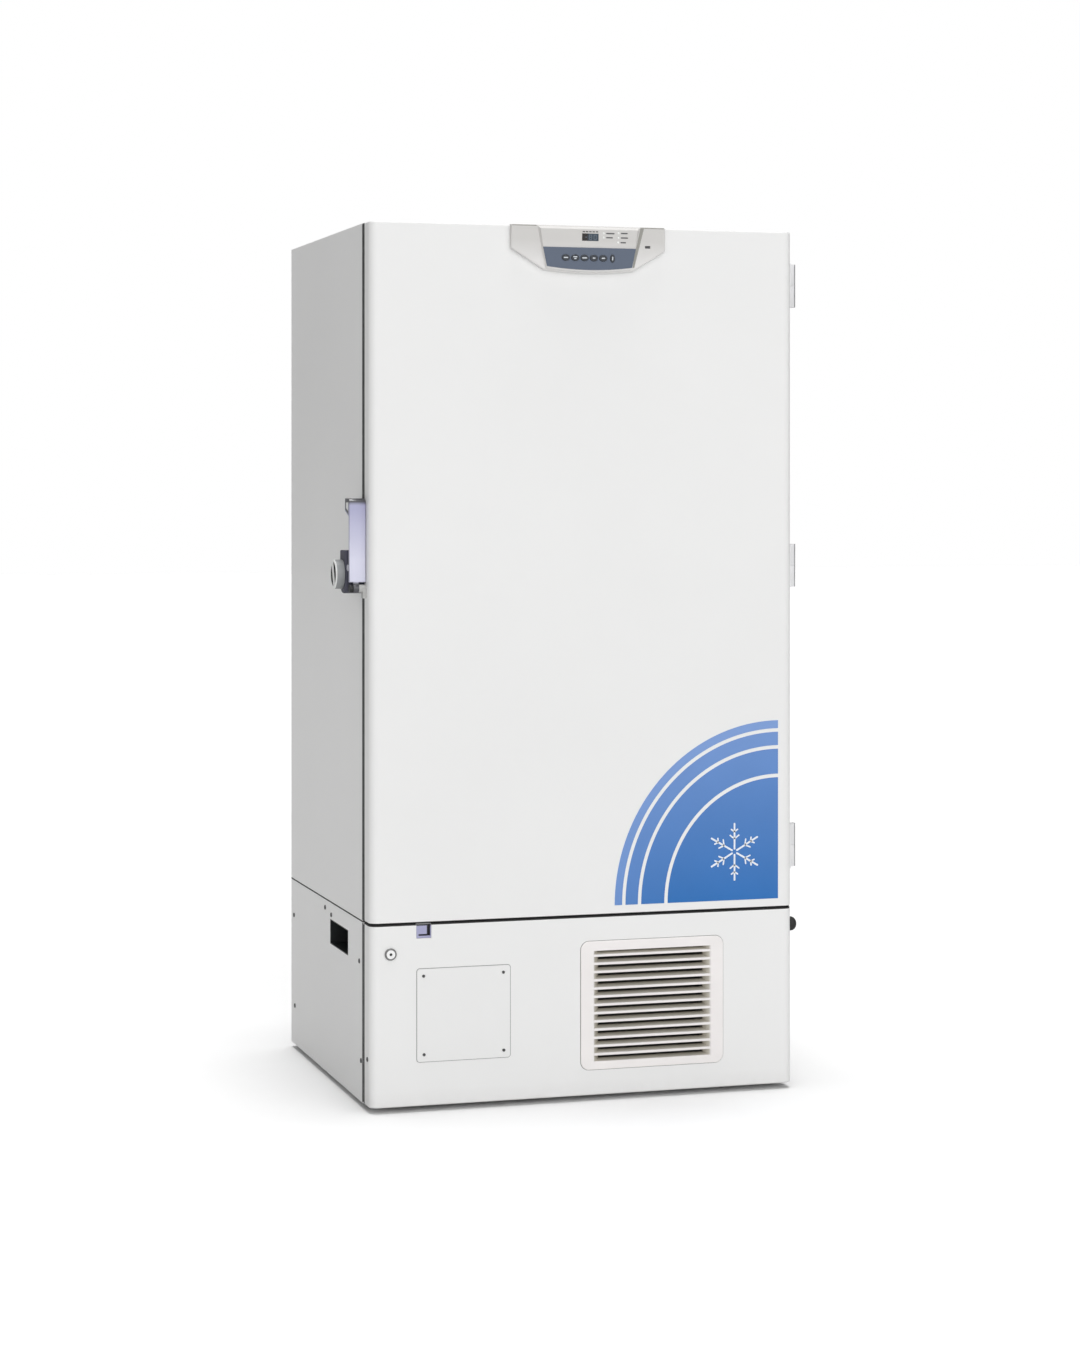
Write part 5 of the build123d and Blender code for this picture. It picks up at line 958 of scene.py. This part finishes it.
class FREEZER_OT_control_panel(bpy.types.Operator):
    """Control housing, keypad, keys, display and lamps"""

    bl_idname = "freezer.control_panel"
    bl_label = "Control panel"

    def keys(self, colours, film):
        """Caps and their light marks."""
        cap = surface("Key caps", colours.key_cap, "moulded", 0.40, drift=0.08, bump=0.08)
        light = surface("Light marks", colours.mark, "moulded", 0.5, drift=0.03, bump=0.02)
        marks = (  # bars of each key, as place across, place up, width and height in mm
            ((0, 0, 10.5, 2.6),),
            ((0, 2.0, 9.5, 2.4), (0, -2.0, 5.5, 2.4)),
            ((0, 0, 11.0, 2.6),),
            ((0, 0, 6.5, 2.6),),
            ((0, 0, 8.0, 2.6),),
            ((0, 0, 2.4, 8.5),),
        )
        sunk = 0.2 * MM  # how far the marks lie in the caps
        for number, bars in enumerate(marks, 1):
            node = f"key_{number}"
            dress(cap, node)
            low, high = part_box(node)
            place = facing("front", (low.x + high.x) / 2, low.y + sunk, (low.z + high.z) / 2)
            bm = bmesh.new()
            for x, y, wide, tall in bars:
                add_prism(bm, rounded(wide * MM, tall * MM, MM, 4, x * MM, y * MM), place, film)
            add_piece(f"{node}_mark", bm, light, f"button_{number}")

    def display(self, colours, sizes):
        """Window with faint digits."""
        low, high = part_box("display_window")
        third = low.x + (high.x - low.x) * 0.30
        stops = ((0.0, colours.window), (1.0, colours.window_pale))
        window = graded(
            "Window plastic", stops, third, third + 0.004, 0.24, way=(1.0, 0.0, 0.0),
            drift=0.1, spread=0.04, bump=0.01, Specular_IOR_Level=0.3,
        )
        dress(window, "display_window")
        glow = surface("Display segments", colours.digit, "moulded", 0.3, drift=0.03, bump=0.0)
        tall = sizes.digit_height
        wide = tall * 0.52
        bar = tall * 0.12
        spots = {
            "a": (0, tall / 2, wide, bar),
            "b": (wide / 2, tall / 4, bar, tall / 2),
            "c": (wide / 2, -tall / 4, bar, tall / 2),
            "d": (0, -tall / 2, wide, bar),
            "e": (-wide / 2, -tall / 4, bar, tall / 2),
            "f": (-wide / 2, tall / 4, bar, tall / 2),
            "g": (0, 0, wide, bar),
        }
        start, pitch = 0.009, 0.011
        bm = bmesh.new()
        for number, digit in enumerate("-80"):
            place = facing("front", low.x + start + pitch * number, low.y, (low.z + high.z) / 2)
            for segment in SEGMENTS[digit]:
                x, y, long, high_bar = spots[segment]
                add_prism(bm, rounded(long * 0.92, high_bar * 0.92, bar * 0.4, 3, x, y), place, sizes.film)
        add_piece("display_digits", bm, glow, "door")

    def execute(self, context):
        colours, sizes, _ = settings()
        film = sizes.film
        low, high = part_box("control_housing")
        deep, light = tuple(colours.panel), tuple(colours.panel_foot)
        stops = ((0.0, light), (0.25, light), (0.70, deep), (1.0, deep))
        housing = graded("Panel plastic", stops, low.z, high.z, 0.45, drift=0.02, bump=0.06)
        dress(housing, "control_housing")
        keypad = surface(
            "Keypad film", colours.keypad, "moulded", 0.36, drift=0.05, bump=0.05, Coat_Weight=0.2
        )
        dress(keypad, "keypad_plate")
        self.keys(colours, film)
        self.display(colours, sizes)

        window_low, window_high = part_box("display_window")
        bm = bmesh.new()
        start, pitch, rise = 0.004, 0.0078, 0.0042
        label = rounded(0.0058, 0.0026, 0.0008, 3)
        for step in range(5):
            place = facing("front", window_low.x + start + pitch * step, low.y, window_high.z + rise)
            add_prism(bm, label, place, film)
        lamps = (  # place across, height and length of the mark beside each lamp, in mm
            (36.7, 1976.4, 20),
            (36.7, 1966.9, 16),
            (72.1, 1977.4, 16),
            (72.1, 1967.1, 17),
            (71.1, 1956.4, 13),
        )
        clear = 6  # middle of a lamp to its mark, in mm
        for x, z, long in lamps:
            place = facing("front", CENTRE + (x + clear + long / 2) * MM, low.y, z * MM)
            add_prism(bm, rounded(long * MM, 0.0028, 0.0010, 3), place, film)
        add_piece("panel_label_marks", bm, ink_and_shade(), "door")
        bm = bmesh.new()
        bulb = [(r * MM, h * MM) for r, h in ((0, 0), (2.4, 0), (2.4, 0.6), (1.9, 1.2), (1.0, 1.5), (0, 1.6))]
        for x, z, _ in lamps:
            add_lathe(bm, bulb, facing("front", CENTRE + x * MM, low.y, z * MM), 16)
        lens = surface(
            "Lamp lens", (0.86, 0.88, 0.86), "moulded", 0.18, drift=0.02, bump=0.01, Coat_Weight=0.4
        )
        add_piece("panel_lamps", bm, lens, "door")

        rim = sizes.wing_rim
        wing_y = FRONT - sizes.wing_proud
        side = ((high.x - low.x) - sizes.console_width) / 2
        bm = bmesh.new()
        for x in (low.x + rim, high.x - side):
            place = facing("right", x, wing_y + rim, high.z - rim)
            add_prism(bm, bowed(rim, film, 185, 125), place, side - rim)
        place = facing("front", high.x - side, wing_y, high.z)
        lean = sizes.console_lean
        top, foot = -0.003, -0.093  # ends of the shade beside the console, from the panel's top
        shadow = [(0.0, top), (0.0085, top), (0.0055 - lean, foot), (-lean, foot)]
        add_prism(bm, shadow, place, film)
        shade = surface("Panel shade", (0.30, 0.295, 0.27), "moulded", 0.5, drift=0.03, bump=0.04)
        add_piece("panel_shade_lines", bm, shade, "door")
        bm = bmesh.new()
        port_wide, port_tall, port_deep, port_foot = 0.0128, 0.0058, 0.0050, 0.0065
        place = facing("front", high.x - sizes.port_inset, wing_y + port_foot, high.z - sizes.port_drop)
        add_prism(bm, rounded(port_wide, port_tall, 0.0006, 3), place, port_deep, 0.0004)
        add_piece("panel_port", bm, ink_and_shade(), "door")
        return {"FINISHED"}


class FREEZER_OT_handle(bpy.types.Operator):
    """Handle lever, its bracket, lock body and lock knob"""

    bl_idname = "freezer.handle"
    bl_label = "Handle"

    def execute(self, context):
        colours, _, _ = settings()
        low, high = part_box("handle_lever")
        # Dark top and eye of the lever: painted shade on its rounded top and on the eye under it; the
        # lavender also runs darker towards the top
        cap = tuple(colours.lever_shade)
        stops = (
            (0.0, cap),
            (0.095, cap),
            (0.115, tuple(colours.lever_foot)),
            (0.35, tuple(colours.lever_foot)),
            (0.90, tuple(colours.lever_head)),
            (0.925, tuple(colours.lever_head)),
            (0.965, cap),
        )
        lever = graded("Lever plastic", stops, low.z, high.z, 0.32, drift=0.02, bump=0.04, Coat_Weight=0.3)
        dress(lever, "handle_lever")
        hook = facing("left", low.x, high.y, high.z)
        # outer and inner line of the hook's side, in mm from its upper back corner: a dark ring of painted
        # shade round a white film of painted highlight
        line = [(x * MM, z * MM) for x, z in ((33, -2.5), (6, -2.5), (2.5, -6), (2.5, -25.5), (33, -36))]
        mouth = [(x * MM, z * MM) for x, z in ((33, -9), (14, -9), (11, -12), (11, -22), (33, -29))]
        bm = bmesh.new()
        add_ring(bm, line, mouth, hook, BAND_THICKNESS)
        rim = surface("Hook shade line", colours.lever_shade, "moulded", 0.4, drift=0.05, bump=0.04)
        add_piece("lever_hook_shade_line", bm, rim, "lever")
        bm = bmesh.new()
        add_prism(bm, mouth, hook, 0.0002)
        white = surface("Hook highlight", colours.pale_highlight, "moulded", 0.4, drift=0.03, bump=0.04)
        add_piece("lever_hook_highlight", bm, white, "lever")
        low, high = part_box("handle_bracket")
        # Black left end of the bracket: painted shadow under the lever beside the lock
        dark, pale = (0.008, 0.008, 0.009), tuple(colours.bracket)
        stops = ((0.0, dark), (0.30, dark), (0.36, pale), (1.0, pale))
        bracket = graded(
            "Bracket metal", stops, low.x, high.x, 0.45, way=(1.0, 0.0, 0.0), drift=0.05, bump=0.06
        )
        dress(bracket, "handle_bracket")
        dress(surface("Lock plastic", colours.lock, "moulded", 0.58, drift=0.06, bump=0.08), "lock_body")
        soften(0.0015, "handle_lever")
        soften(0.0008, "lock_knob", "handle_bracket")
        lock_low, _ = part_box("lock_body")
        knob_low, knob_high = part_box("lock_knob")
        middle = (knob_low + knob_high) / 2
        # White end of the knob: painted highlight; its finger pockets darken as painted shade
        highlight_tint = tuple(colours.pale_highlight)
        stops = ((0.0, highlight_tint), (0.8, highlight_tint), (1.0, tuple(colours.knob)))
        highlight_deep, wall, mouth_depth = 0.0026, 0.0058, 0.0012
        knob = graded(
            "Knob plastic", stops, knob_low.x, knob_low.x + highlight_deep, 0.40, way=(1.0, 0.0, 0.0),
            drift=0.04, bump=0.06,
        )
        pocket = (knob_high.z - knob_low.z) / 2 - wall
        dress(pocketed(knob, middle, pocket, knob_low.x + mouth_depth, (0.03, 0.03, 0.033)), "lock_knob")
        # Pale oval on the lock body: painted highlight
        bm = bmesh.new()
        plug_wide, plug_tall, plug_proud = 0.0056, 0.0150, 0.0012
        plug_inset, plug_rise = 0.0066, 0.048
        place = facing("front", lock_low.x + plug_inset, lock_low.y, knob_low.z + plug_rise)
        add_prism(bm, oval(plug_wide, plug_tall, 24), place, plug_proud, 0.0004)
        shine = surface("Lock highlight", (0.58, 0.58, 0.64), "brushed", 0.3, drift=0.05, spread=0.1, bump=0.03)
        add_piece("lock_highlight_oval", bm, shine, "cabinet")
        return {"FINISHED"}


class FREEZER_OT_decal(bpy.types.Operator):
    """Blue corner decal of curved bands with a snow crystal"""

    bl_idname = "freezer.decal"
    bl_label = "Corner decal"

    def band(self, name, inner, outer, material, corner):
        """Quarter band between two shares of the decal's reach."""
        sizes = settings()[1]
        bm = bmesh.new()
        steps = 40
        turns = [math.pi / 2 + math.pi / 2 * step / steps for step in range(steps + 1)]
        reach = Vector((sizes.decal_width, sizes.decal_height))

        def arc(share):
            """Points of a quarter arc on the front of the film."""
            return [
                corner @ Vector((share * reach.x * math.cos(t), share * reach.y * math.sin(t), sizes.film))
                for t in turns
            ]

        rim = arc(outer)
        if inner:
            back = arc(inner)
            for near, far, far_back, near_back in zip(rim, rim[1:], back[1:], back):
                bm.faces.new([bm.verts.new(point) for point in (near, far, far_back, near_back)])
        else:
            middle = corner @ Vector((0.0, 0.0, sizes.film))
            bm.faces.new([bm.verts.new(point) for point in (*rim, middle)])
        bmesh.ops.remove_doubles(bm, verts=bm.verts, dist=0.000001)
        lifted = bmesh.ops.extrude_face_region(bm, geom=list(bm.faces))["geom"]
        inward = corner.to_3x3() @ Vector((0, 0, -sizes.film))
        moved = [vertex for vertex in lifted if isinstance(vertex, bmesh.types.BMVert)]
        bmesh.ops.translate(bm, vec=inward, verts=moved)
        add_piece(name, bm, material, "door")

    def execute(self, context):
        colours, sizes, _ = settings()
        side_gap, foot_gap = 0.036, 0.020
        corner = facing("front", RIGHT - side_gap, FRONT, DOOR_LOW.z + foot_gap)
        deep, pale = Vector(colours.decal_deep), Vector(colours.decal_pale)
        # inner and outer reach of each band and how pale it is, as shares
        bands = ((0.955, 1.0, 0.45), (0.86, 0.935, 0.22), (0.70, 0.84, 0.08), (0.0, 0.68, 0.0))
        for number, (inner, outer, share) in enumerate(bands):
            tint = deep.lerp(pale, share)
            stops = ((0.0, tuple(tint)), (1.0, tuple(tint.lerp(pale, 0.40))))
            top = DOOR_LOW.z + sizes.decal_height
            film = graded(f"Decal blue {number + 1}", stops, DOOR_LOW.z, top, 0.36, drift=0.02, bump=0.02)
            self.band(f"decal_band_{number + 1}", inner, outer, film, corner)
        arm_wide, arm_long, arm_middle = 0.0042, 0.062, 0.036
        twig_wide, twig_angle = 0.0034, math.pi / 3.4
        twigs = ((0.030, 0.015), (0.046, 0.011))  # place along the arm and length
        bm = bmesh.new()
        heart = corner @ Matrix.Translation((-0.108, 0.112, sizes.film))
        for arm in range(6):
            turned = heart @ Matrix.Rotation(math.pi / 3 * arm, 4, "Z")
            add_prism(bm, rounded(arm_wide, arm_long, 0.0018, 3, 0, arm_middle), turned, sizes.film)
            for along, twig in twigs:
                for lean in (-1, 1):
                    slant = Matrix.Rotation(lean * twig_angle, 4, "Z")
                    branch = turned @ Matrix.Translation((0, along, 0)) @ slant
                    add_prism(bm, rounded(twig_wide, twig, 0.0015, 3, 0, twig / 2), branch, sizes.film)
        frost = surface("Decal white", (0.80, 0.84, 0.90), "moulded", 0.4, drift=0.02, bump=0.02)
        add_piece("decal_crystal", bm, frost, "door")
        return {"FINISHED"}


class FREEZER_OT_lower_cover(bpy.types.Operator):
    """Lower cover with its grille, plate, lock, latch and bumper"""

    bl_idname = "freezer.lower_cover"
    bl_label = "Lower cover"

    def outlines(self):
        """Dark lines of painted shade round the grille and the plate, and a black strip of painted shade
        along the cover's top.
        """
        _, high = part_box("front_cover")
        grille_low, grille_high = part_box("louver_grille")
        plate_low, plate_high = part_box("recorder_plate")
        lap = 0.006  # the grille's flange lies wider than its face, behind the cover's sheet
        middle = (grille_low + grille_high) / 2
        wide, tall = grille_high.x - grille_low.x - 2 * lap, grille_high.z - grille_low.z - 2 * lap
        bm = bmesh.new()
        outer, inner, sunk, deep = 0.1 * MM, 1.9 * MM, 1.8 * MM, 1.4 * MM
        add_ring(
            bm,
            rounded(wide - outer, tall - outer, 21 * MM),
            rounded(wide - inner, tall - inner, 20 * MM),
            facing("front", middle.x, FRONT + sunk, middle.z),
            deep,
        )
        add_piece("grille_shade_outline", bm, ink_and_shade(), "cover")
        middle = (plate_low + plate_high) / 2
        wide, tall = plate_high.x - plate_low.x, plate_high.z - plate_low.z
        bm = bmesh.new()
        outer, inner, proud = 2.6 * MM, 0.2 * MM, 0.5 * MM
        add_ring(
            bm,
            rounded(wide + outer, tall + outer, 7.2 * MM),
            rounded(wide + inner, tall + inner, 6 * MM),
            facing("front", middle.x, FRONT, middle.z),
            proud,
        )
        line = surface("Plate shade line", (0.22, 0.22, 0.22), "rubber", 0.6, drift=0.1, bump=0.1)
        add_piece("plate_shade_outline", bm, line, "cover")
        catch_low, catch_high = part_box("cover_latch")
        strip = [(RIM * (1 - math.cos(t)), RIM * (math.sin(t) - 1)) for t in (0.65, 0.9, 1.2, math.pi / 2)]
        strip += [(0.0075, 0.0), (0.0075, 0.0028), (0.0030, 0.0028), (0.0009, 0.0016)]
        bm = bmesh.new()
        for start, end in ((LEFT, catch_low.x - MM), (catch_high.x + MM, RIGHT)):
            add_strip(bm, front_path(start, end), strip, high.z)
        add_piece("cover_top_shade_strip", bm, black_rubber_and_shade(), "cover")

    def execute(self, context):
        colours, _, _ = settings()
        dress(enamel("Cover enamel", dust=(0.05, 0.25)), "front_cover")
        tint = tuple(0.98 * c for c in colours.enamel)
        plate = surface("Plate enamel", tint, "enamel", 0.36, drift=0.015, bump=0.05)
        dress(plate, "recorder_plate")
        low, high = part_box("louver_grille")
        face = tuple(colours.grille)
        # Darker with depth down to black: painted shade in the slots between the blades
        stops = (
            (0.0, face),
            (0.10, face),
            (0.17, (0.62, 0.59, 0.52)),
            (0.72, (0.40, 0.365, 0.30)),
            (0.84, (0.02, 0.018, 0.015)),
        )
        inward = (0.0, 1.0, 0.0)
        grille = graded("Grille plastic", stops, low.y, high.y, 0.46, way=inward, drift=0.03, bump=0.05)
        dress(grille, "louver_grille")
        dress(black_rubber_and_shade(), "side_bumper")
        low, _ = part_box("cover_latch")
        # Black towards the back: painted shade in the notch behind the latch's front
        foot, dark = tuple(colours.lever_head), (0.012, 0.010, 0.018)
        stops = ((0.0, foot), (0.5, foot), (1.0, dark))
        latch = graded(
            "Latch plastic", stops, low.y, low.y + 0.004, 0.34, way=inward, drift=0.02, bump=0.04
        )
        dress(latch, "cover_latch")
        chrome = surface(
            "Lock chrome", (0.20, 0.20, 0.20), "brushed", 0.3, drift=0.04, spread=0.1, bump=0.02, Metallic=0.8
        )
        dress(chrome, "cover_lock")
        soften(0.0006, "recorder_plate")
        self.outlines()
        plate_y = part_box("recorder_plate")[0].y
        # place across from the middle and height, in mm
        plate_places = ((-382, 304), (-196, 304), (-195, 128), (-381, 128))
        screw_row(
            "recorder_plate_screws",
            [facing("front", CENTRE + x * MM, plate_y, z * MM) for x, z in plate_places],
            dark_screw(),
            "cover",
            radius=0.0035,
        )
        place = facing("left", LEFT, FRONT + 0.023, 0.120)
        screw_row("cover_side_screw", [place], dark_screw(), "cover")
        low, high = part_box("cover_lock")
        face = facing("front", (low.x + high.x) / 2, low.y, high.z - (high.x - low.x) / 2)
        face_across, hole_across, plug_across = 0.0196, 0.0064, 0.0060
        face_proud, plug_proud = 0.0008, 0.0006
        bm = bmesh.new()
        add_ring(bm, oval(face_across, face_across, 32), oval(hole_across, hole_across, 32), face, face_proud)
        pale = surface(
            "Lock face", (0.88, 0.88, 0.88), "enamel", 0.25, drift=0.02, bump=0.02, Coat_Weight=0.4
        )
        add_piece("lock_face", bm, pale, "cover_key")
        bm = bmesh.new()
        add_prism(bm, oval(plug_across, plug_across, 24), face, plug_proud, 0.0002)
        slot = face @ Matrix.Translation((0, 0, plug_proud))
        add_prism(bm, rounded(0.0012, 0.0044, 0.0005, 3), slot, 0.0002)
        add_piece("lock_keyway", bm, black_rubber_and_shade(), "cover_key")
        return {"FINISHED"}


class FREEZER_OT_switch(bpy.types.Operator):
    """Switch recess, its rocker and the breaker beside it"""

    bl_idname = "freezer.switch"
    bl_label = "Power switch"

    def execute(self, context):
        colours, _, _ = settings()
        recess = surface("Recess plastic", (0.012, 0.013, 0.014), "moulded", 0.4, drift=0.1, bump=0.06)
        dress(recess, "switch_recess")
        rocker = surface(
            "Rocker plastic", colours.rocker, "moulded", 0.16, drift=0.05, bump=0.02, Coat_Weight=0.5
        )
        dress(rocker, "power_rocker")
        low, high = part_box("switch_recess")
        # width, height, depth, corners and eased edge of the case, its step and its toggle, in mm
        blocks = ((46, 42, 30, 3, 2), (30, 16, 4, 2, 1), (10, 14, 7, 2, 1.5))
        bm = bmesh.new()
        place = facing("left", high.x - 2 * MM, low.y + 36 * MM, (low.z + high.z) / 2 - 4 * MM)
        for block in blocks:
            wide, tall, deep, radius, bevel = [size * MM for size in block]
            add_prism(bm, rounded(wide, tall, radius), place, deep, bevel)
            place = place @ Matrix.Translation((0, 0, deep))
        body = surface(
            "Breaker plastic", (0.07, 0.12, 0.125), "moulded", 0.22, drift=0.06, bump=0.03, Coat_Weight=0.4
        )
        add_piece("switch_breaker", bm, body, "cabinet")
        return {"FINISHED"}


class FREEZER_OT_chamber(bpy.types.Operator):
    """Cold chamber, shelves, inner doors and their latches"""

    bl_idname = "freezer.chamber"
    bl_label = "Chamber"

    def execute(self, context):
        steel = surface(
            "Chamber steel", (0.62, 0.63, 0.64), "brushed", 0.34, drift=0.04, spread=0.08, bump=0.03,
            stretch=(20.0, 1.0, 30.0), Metallic=1.0,
        )
        dress(steel, "chamber_liner", "shelves", "shelf_rails")
        coil = surface("Coil metal", (0.60, 0.61, 0.62), "brushed", 0.4, drift=0.1, bump=0.1, Metallic=1.0)
        dress(coil, "evaporator_coil")
        foam_door = surface("Inner door plastic", (0.70, 0.73, 0.75), "moulded", 0.42, drift=0.03, bump=0.1)
        dress(foam_door, "inner_door_upper", "inner_door_lower")
        latch = surface("Latch black", (0.03, 0.035, 0.045), "moulded", 0.3, drift=0.06, bump=0.05)
        dress(latch, "inner_latch_upper", "inner_latch_lower")
        trim = surface("Inner panel trim", (0.45, 0.47, 0.49), "rubber", 0.6, drift=0.08, bump=0.1)
        for level in ("upper", "lower"):
            low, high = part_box(f"inner_door_{level}")
            bm = bmesh.new()
            left, right = low.x + PANEL_FREE_BORDER, high.x - PANEL_BORDER
            wide, tall = right - left - 2 * MM, high.z - low.z - 2 * PANEL_BORDER - 2 * MM
            place = facing("front", (left + right) / 2, low.y + PANEL_DEPTH, (low.z + high.z) / 2)
            add_ring(
                bm,
                rounded(wide, tall, 4 * MM),
                rounded(wide - 2 * TRIM_WIDTH, tall - 2 * TRIM_WIDTH, 2 * MM),
                place,
                PANEL_DEPTH - 0.5 * MM,
            )
            add_piece(f"inner_panel_trim_{level}", bm, trim, f"{level}_inner_door")
        return {"FINISHED"}


class FREEZER_OT_machine(bpy.types.Operator):
    """Compressors, condenser, fan, pipes and electrical box"""

    bl_idname = "freezer.machine"
    bl_label = "Machine compartment"

    def execute(self, context):
        colours, sizes, _ = settings()
        black = surface(
            "Compressor paint", (0.015, 0.015, 0.016), "enamel", 0.42, drift=0.2, bump=0.2, dust=(0.4, 0.5)
        )
        dress(black, "compressor_low_stage", "compressor_high_stage")
        fins = surface("Fin metal", (0.55, 0.56, 0.57), "brushed", 0.42, drift=0.15, bump=0.1, Metallic=1.0)
        dress(fins, "condenser")
        mesh = surface(
            "Filter mesh", (0.02, 0.02, 0.02), "moulded", 0.8, drift=0.2, bump=0.5, dust=(0.4, 0.25)
        )
        dress(mesh, "condenser_filter")
        shroud = surface("Shroud paint", (0.10, 0.10, 0.105), "enamel", 0.5, drift=0.1, bump=0.1)
        dress(shroud, "fan_shroud")
        dress(surface("Fan plastic", (0.02, 0.02, 0.022), "moulded", 0.4, drift=0.1, bump=0.1), "fan_blade")
        box = surface("Box plastic", (0.42, 0.43, 0.44), "moulded", 0.5, drift=0.04, bump=0.1)
        dress(box, "electrical_box")
        copper = surface(
            "Copper pipe", colours.copper, "brushed", 0.28, drift=0.12, spread=0.2, bump=0.05, Metallic=1.0
        )
        condenser_low, condenser_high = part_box("condenser")
        roof = SHELL_LOW.z - 0.03
        for stage_name, side in (("low", -1), ("high", 1)):
            low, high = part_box(f"compressor_{stage_name}_stage")
            x, y = (low.x + high.x) / 2, high.y - (high.x - low.x) / 2
            top = high.z - 0.004
            run = roof - 0.015 * side  # height of the pipe's level run
            out_x, in_x = x + 0.03, x - 0.04
            in_y, far_y, level = y + 0.02, y + 0.10, roof + 0.008
            behind = condenser_high.y + 0.14
            end_x, end_y = condenser_high.x - 0.02 - 0.03 * (side + 1), condenser_low.y + 0.022
            add_tube(
                f"discharge_pipe_{stage_name}",
                [
                    (out_x, y, top),
                    (out_x, y, run),
                    (out_x, behind, run),
                    (end_x, behind, run),
                    (end_x, end_y, run),
                    (end_x, end_y, condenser_high.z - 0.002),
                ],
                sizes.pipe_radius,
                copper,
                "cabinet",
            )
            add_tube(
                f"suction_pipe_{stage_name}",
                [
                    (in_x, in_y, top - 2 * MM),
                    (in_x, in_y, level),
                    (in_x, far_y, level),
                    (in_x, far_y, SHELL_LOW.z - MM),
                ],
                sizes.pipe_radius * 1.3,
                copper,
                "cabinet",
            )
        box_low, box_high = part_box("electrical_box")
        inset = 0.012
        screw_row(
            "box_screws",
            [
                facing("front", x, box_low.y, z)
                for x in (box_low.x + inset, box_high.x - inset)
                for z in (box_low.z + inset, box_high.z - inset)
            ],
            plated(),
            "cabinet",
            radius=0.004,
        )
        return {"FINISHED"}


class FREEZER_OT_running_gear(bpy.types.Operator):
    """Casters and levelling feet"""

    bl_idname = "freezer.running_gear"
    bl_label = "Running gear"

    def execute(self, context):
        dress(zinc(), "caster_mounts", "front_caster_fork_left", "front_caster_fork_right")
        tread = surface(
            "Caster rubber", (0.02, 0.02, 0.02), "rubber", 0.6, drift=0.2, bump=0.2, dust=(0.07, 0.5)
        )
        ends, sides = ("front", "rear"), ("left", "right")
        dress(tread, *[f"{end}_caster_wheel_{side}" for end in ends for side in sides])
        coat = surface(
            "Foot coating", (0.03, 0.03, 0.032), "enamel", 0.45, drift=0.1, bump=0.1, dust=(0.03, 0.4)
        )
        dress(coat, "levelling_foot_left", "levelling_foot_right")
        return {"FINISHED"}


class FREEZER_PT_sidebar(bpy.types.Panel):
    """Sidebar panel with the freezer's settings and operators"""

    bl_idname = "FREEZER_PT_sidebar"
    bl_label = "Freezer"
    bl_space_type = "VIEW_3D"
    bl_region_type = "UI"
    bl_category = "Freezer"

    def draw(self, context):
        for operator in OPERATORS:
            self.layout.operator(operator.bl_idname)
        for group in settings():
            for name in group.__annotations__:
                self.layout.prop(group, name)


OPERATORS = (
    FREEZER_OT_stage,
    FREEZER_OT_cabinet,
    FREEZER_OT_door,
    FREEZER_OT_control_panel,
    FREEZER_OT_handle,
    FREEZER_OT_decal,
    FREEZER_OT_lower_cover,
    FREEZER_OT_switch,
    FREEZER_OT_chamber,
    FREEZER_OT_machine,
    FREEZER_OT_running_gear,
)
GROUPS = {"freezer_colours": FreezerColours, "freezer_sizes": FreezerSizes, "freezer_stage": FreezerStage}


def register():
    for group in GROUPS.values():
        bpy.utils.register_class(group)
    for operator in OPERATORS:
        bpy.utils.register_class(operator)
    bpy.utils.register_class(FREEZER_PT_sidebar)
    for name, group in GROUPS.items():
        setattr(bpy.types.Scene, name, PointerProperty(type=group))


def unregister():
    for name in GROUPS:
        delattr(bpy.types.Scene, name)
    bpy.utils.unregister_class(FREEZER_PT_sidebar)
    for operator in reversed(OPERATORS):
        bpy.utils.unregister_class(operator)
    for group in GROUPS.values():
        bpy.utils.unregister_class(group)


def main():
    register()
    bpy.ops.freezer.stage()
    bpy.ops.freezer.cabinet()
    bpy.ops.freezer.door()
    bpy.ops.freezer.control_panel()
    bpy.ops.freezer.handle()
    bpy.ops.freezer.decal()
    bpy.ops.freezer.lower_cover()
    bpy.ops.freezer.switch()
    bpy.ops.freezer.chamber()
    bpy.ops.freezer.machine()
    bpy.ops.freezer.running_gear()


if __name__ == "__main__":
    main()
